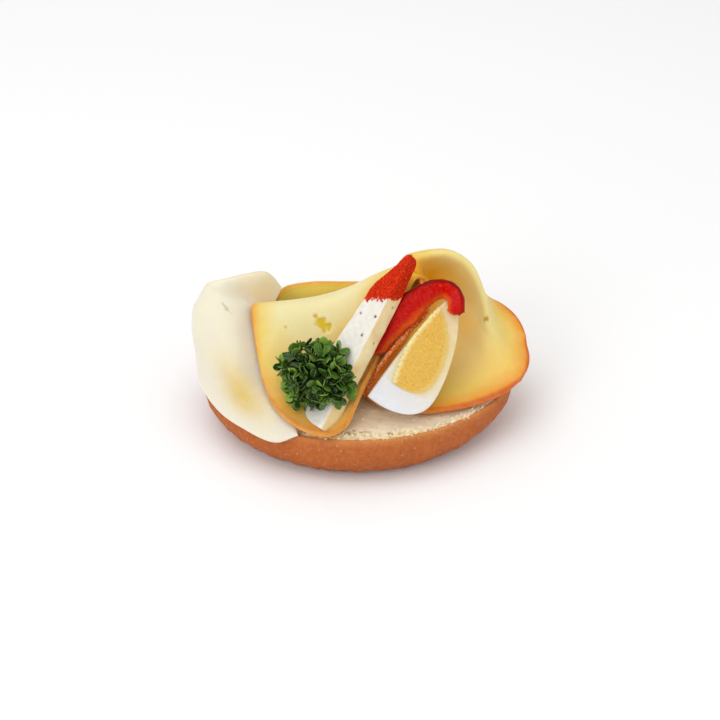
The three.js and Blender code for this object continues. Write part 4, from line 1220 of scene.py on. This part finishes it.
def makeCress():
    rng = np.random.default_rng(7)
    centre = np.array(cress["centre"])
    half = np.array(cress["half"])
    axes = np.array([[1, 0, 0], cressUp, cressOut])
    leafPoints, leafFaces, leafEdge, leafTone, leafShade = [], [], [], [], []
    stemPoints, stemFaces = [], []
    leafCount = stemCount = 0
    for way in cressPlaces():
        way = unitVector(way + rng.normal(0, 0.11, 3))
        reach = rng.uniform(0.66, 1.0)
        root = centre + (way * half * 0.3) @ axes
        head = centre + (way * half * reach) @ axes
        outward = unitVector(head - root)
        head = head - outward * 2.2
        points, faces = stemTube(root, head, 0.42)
        stemPoints.append(points)
        stemFaces.append(faces + stemCount)
        stemCount += len(points)
        axis = unitVector(outward + rng.normal(0, 0.22, 3))
        first = unitVector(np.cross(axis, rng.normal(size=3)))
        second = np.cross(axis, first)
        leaves = rng.integers(3, cress["leaflets"] + 1)
        spin = rng.uniform(0, 2 * math.pi)
        tone = rng.uniform(0.1, 0.9)
        for leafIndex in range(leaves):
            angle = spin + leafIndex * 2 * math.pi / leaves + rng.uniform(-0.35, 0.35)
            size = rng.uniform(0.75, 1.15)
            lean = rng.uniform(0.35, 1.0)
            side = first * math.cos(angle) + second * math.sin(angle)
            along = unitVector(side * math.sin(lean) + axis * math.cos(lean))
            across = unitVector(np.cross(axis, along))
            up = np.cross(along, across)
            points, faces, edge = leafletGrid(cress["leaf"] * size, cress["leafWidth"] * size,
                                              rng.uniform(-0.2, 1.3), rng.uniform(0.25, 0.7))
            basis = np.array([along, across, up])
            leafPoints.append(head + points @ basis)
            leafFaces.append(faces + leafCount)
            leafEdge.append(edge)
            leafTone.append(np.full(len(points), np.clip(tone + rng.uniform(-0.3, 0.3), 0, 1)))
            # painted shade: leaves deep inside the bunch are marked to be coloured darker
            offset = (leafPoints[-1] - centre) @ axes.T / half
            leafShade.append(1 - smoothStep(0.5, 0.95, np.linalg.norm(offset, axis=-1)))
            leafCount += len(points)
    leaves = meshPiece("cressLeaves", np.concatenate(leafPoints), np.concatenate(leafFaces),
                       {"edge": np.concatenate(leafEdge), "tone": np.concatenate(leafTone),
                        "deep": np.concatenate(leafShade)})
    stems = meshPiece("cressStems", np.concatenate(stemPoints), np.concatenate(stemFaces))
    # a dark ball inside the bunch: painted shade seen between the sprigs
    turn = np.linspace(0, 2 * math.pi, 64, endpoint=False)
    rise = np.linspace(-1, 1, 40)[1:-1]
    flat = np.sqrt(1 - rise ** 2)
    ball = np.stack([flat[:, None] * np.cos(turn), flat[:, None] * np.sin(turn),
                     rise[:, None] * np.ones(64)], -1)
    ball = ball * (1 + 0.08 * waves(ball * 10, 6, 130))[..., None]
    core = ringPiece("cressCore", centre + (ball * half * cress["core"]) @ axes)
    return leaves, stems, core


def leafFinish():
    finish = Finish("cressLeaf", Specular_IOR_Level=0.42, Roughness=0.24)
    tone = finish.ramp(finish.reads("tone"), (0.0, shade(16, 50, 4)), (0.5, shade(54, 96, 14)),
                       (1.0, shade(134, 172, 58)))
    vein = finish.noise(900, 3, 0.6)
    tone = finish.blend(vein.above(0.45, 0.75) * 0.35, tone, shade(150, 186, 92))
    tone = finish.blend(finish.reads("edge").above(0.7, 1.0) * 0.3, tone, shade(128, 158, 76))
    # painted shade: leaves inside the bunch darkened towards black-green
    tone = finish.blend(finish.reads("deep") * 0.9, tone, shade(8, 26, 4))
    finish.feed("Base Color", tone)
    finish.bump(vein, 0.3, 0.0003)
    return finish.material


def stemFinish(name, pale, dark):
    finish = Finish(name, Specular_IOR_Level=0.35, Roughness=0.5)
    finish.feed("Base Color", finish.blend(finish.noise(500, 3, 0.6).above(0.35, 0.7), dark, pale))
    return finish.material


cressLeaves, cressStems, cressCore = makeCress()
finishPiece(cressLeaves, leafFinish(), "cress", "cress_bunch")
finishPiece(cressStems, stemFinish("cressStem", shade(130, 160, 84), shade(84, 118, 44)), "cress")
# the dark core is painted shade inside the bunch
finishPiece(cressCore, stemFinish("cressShade", shade(34, 58, 22), shade(18, 34, 10)), "cress")
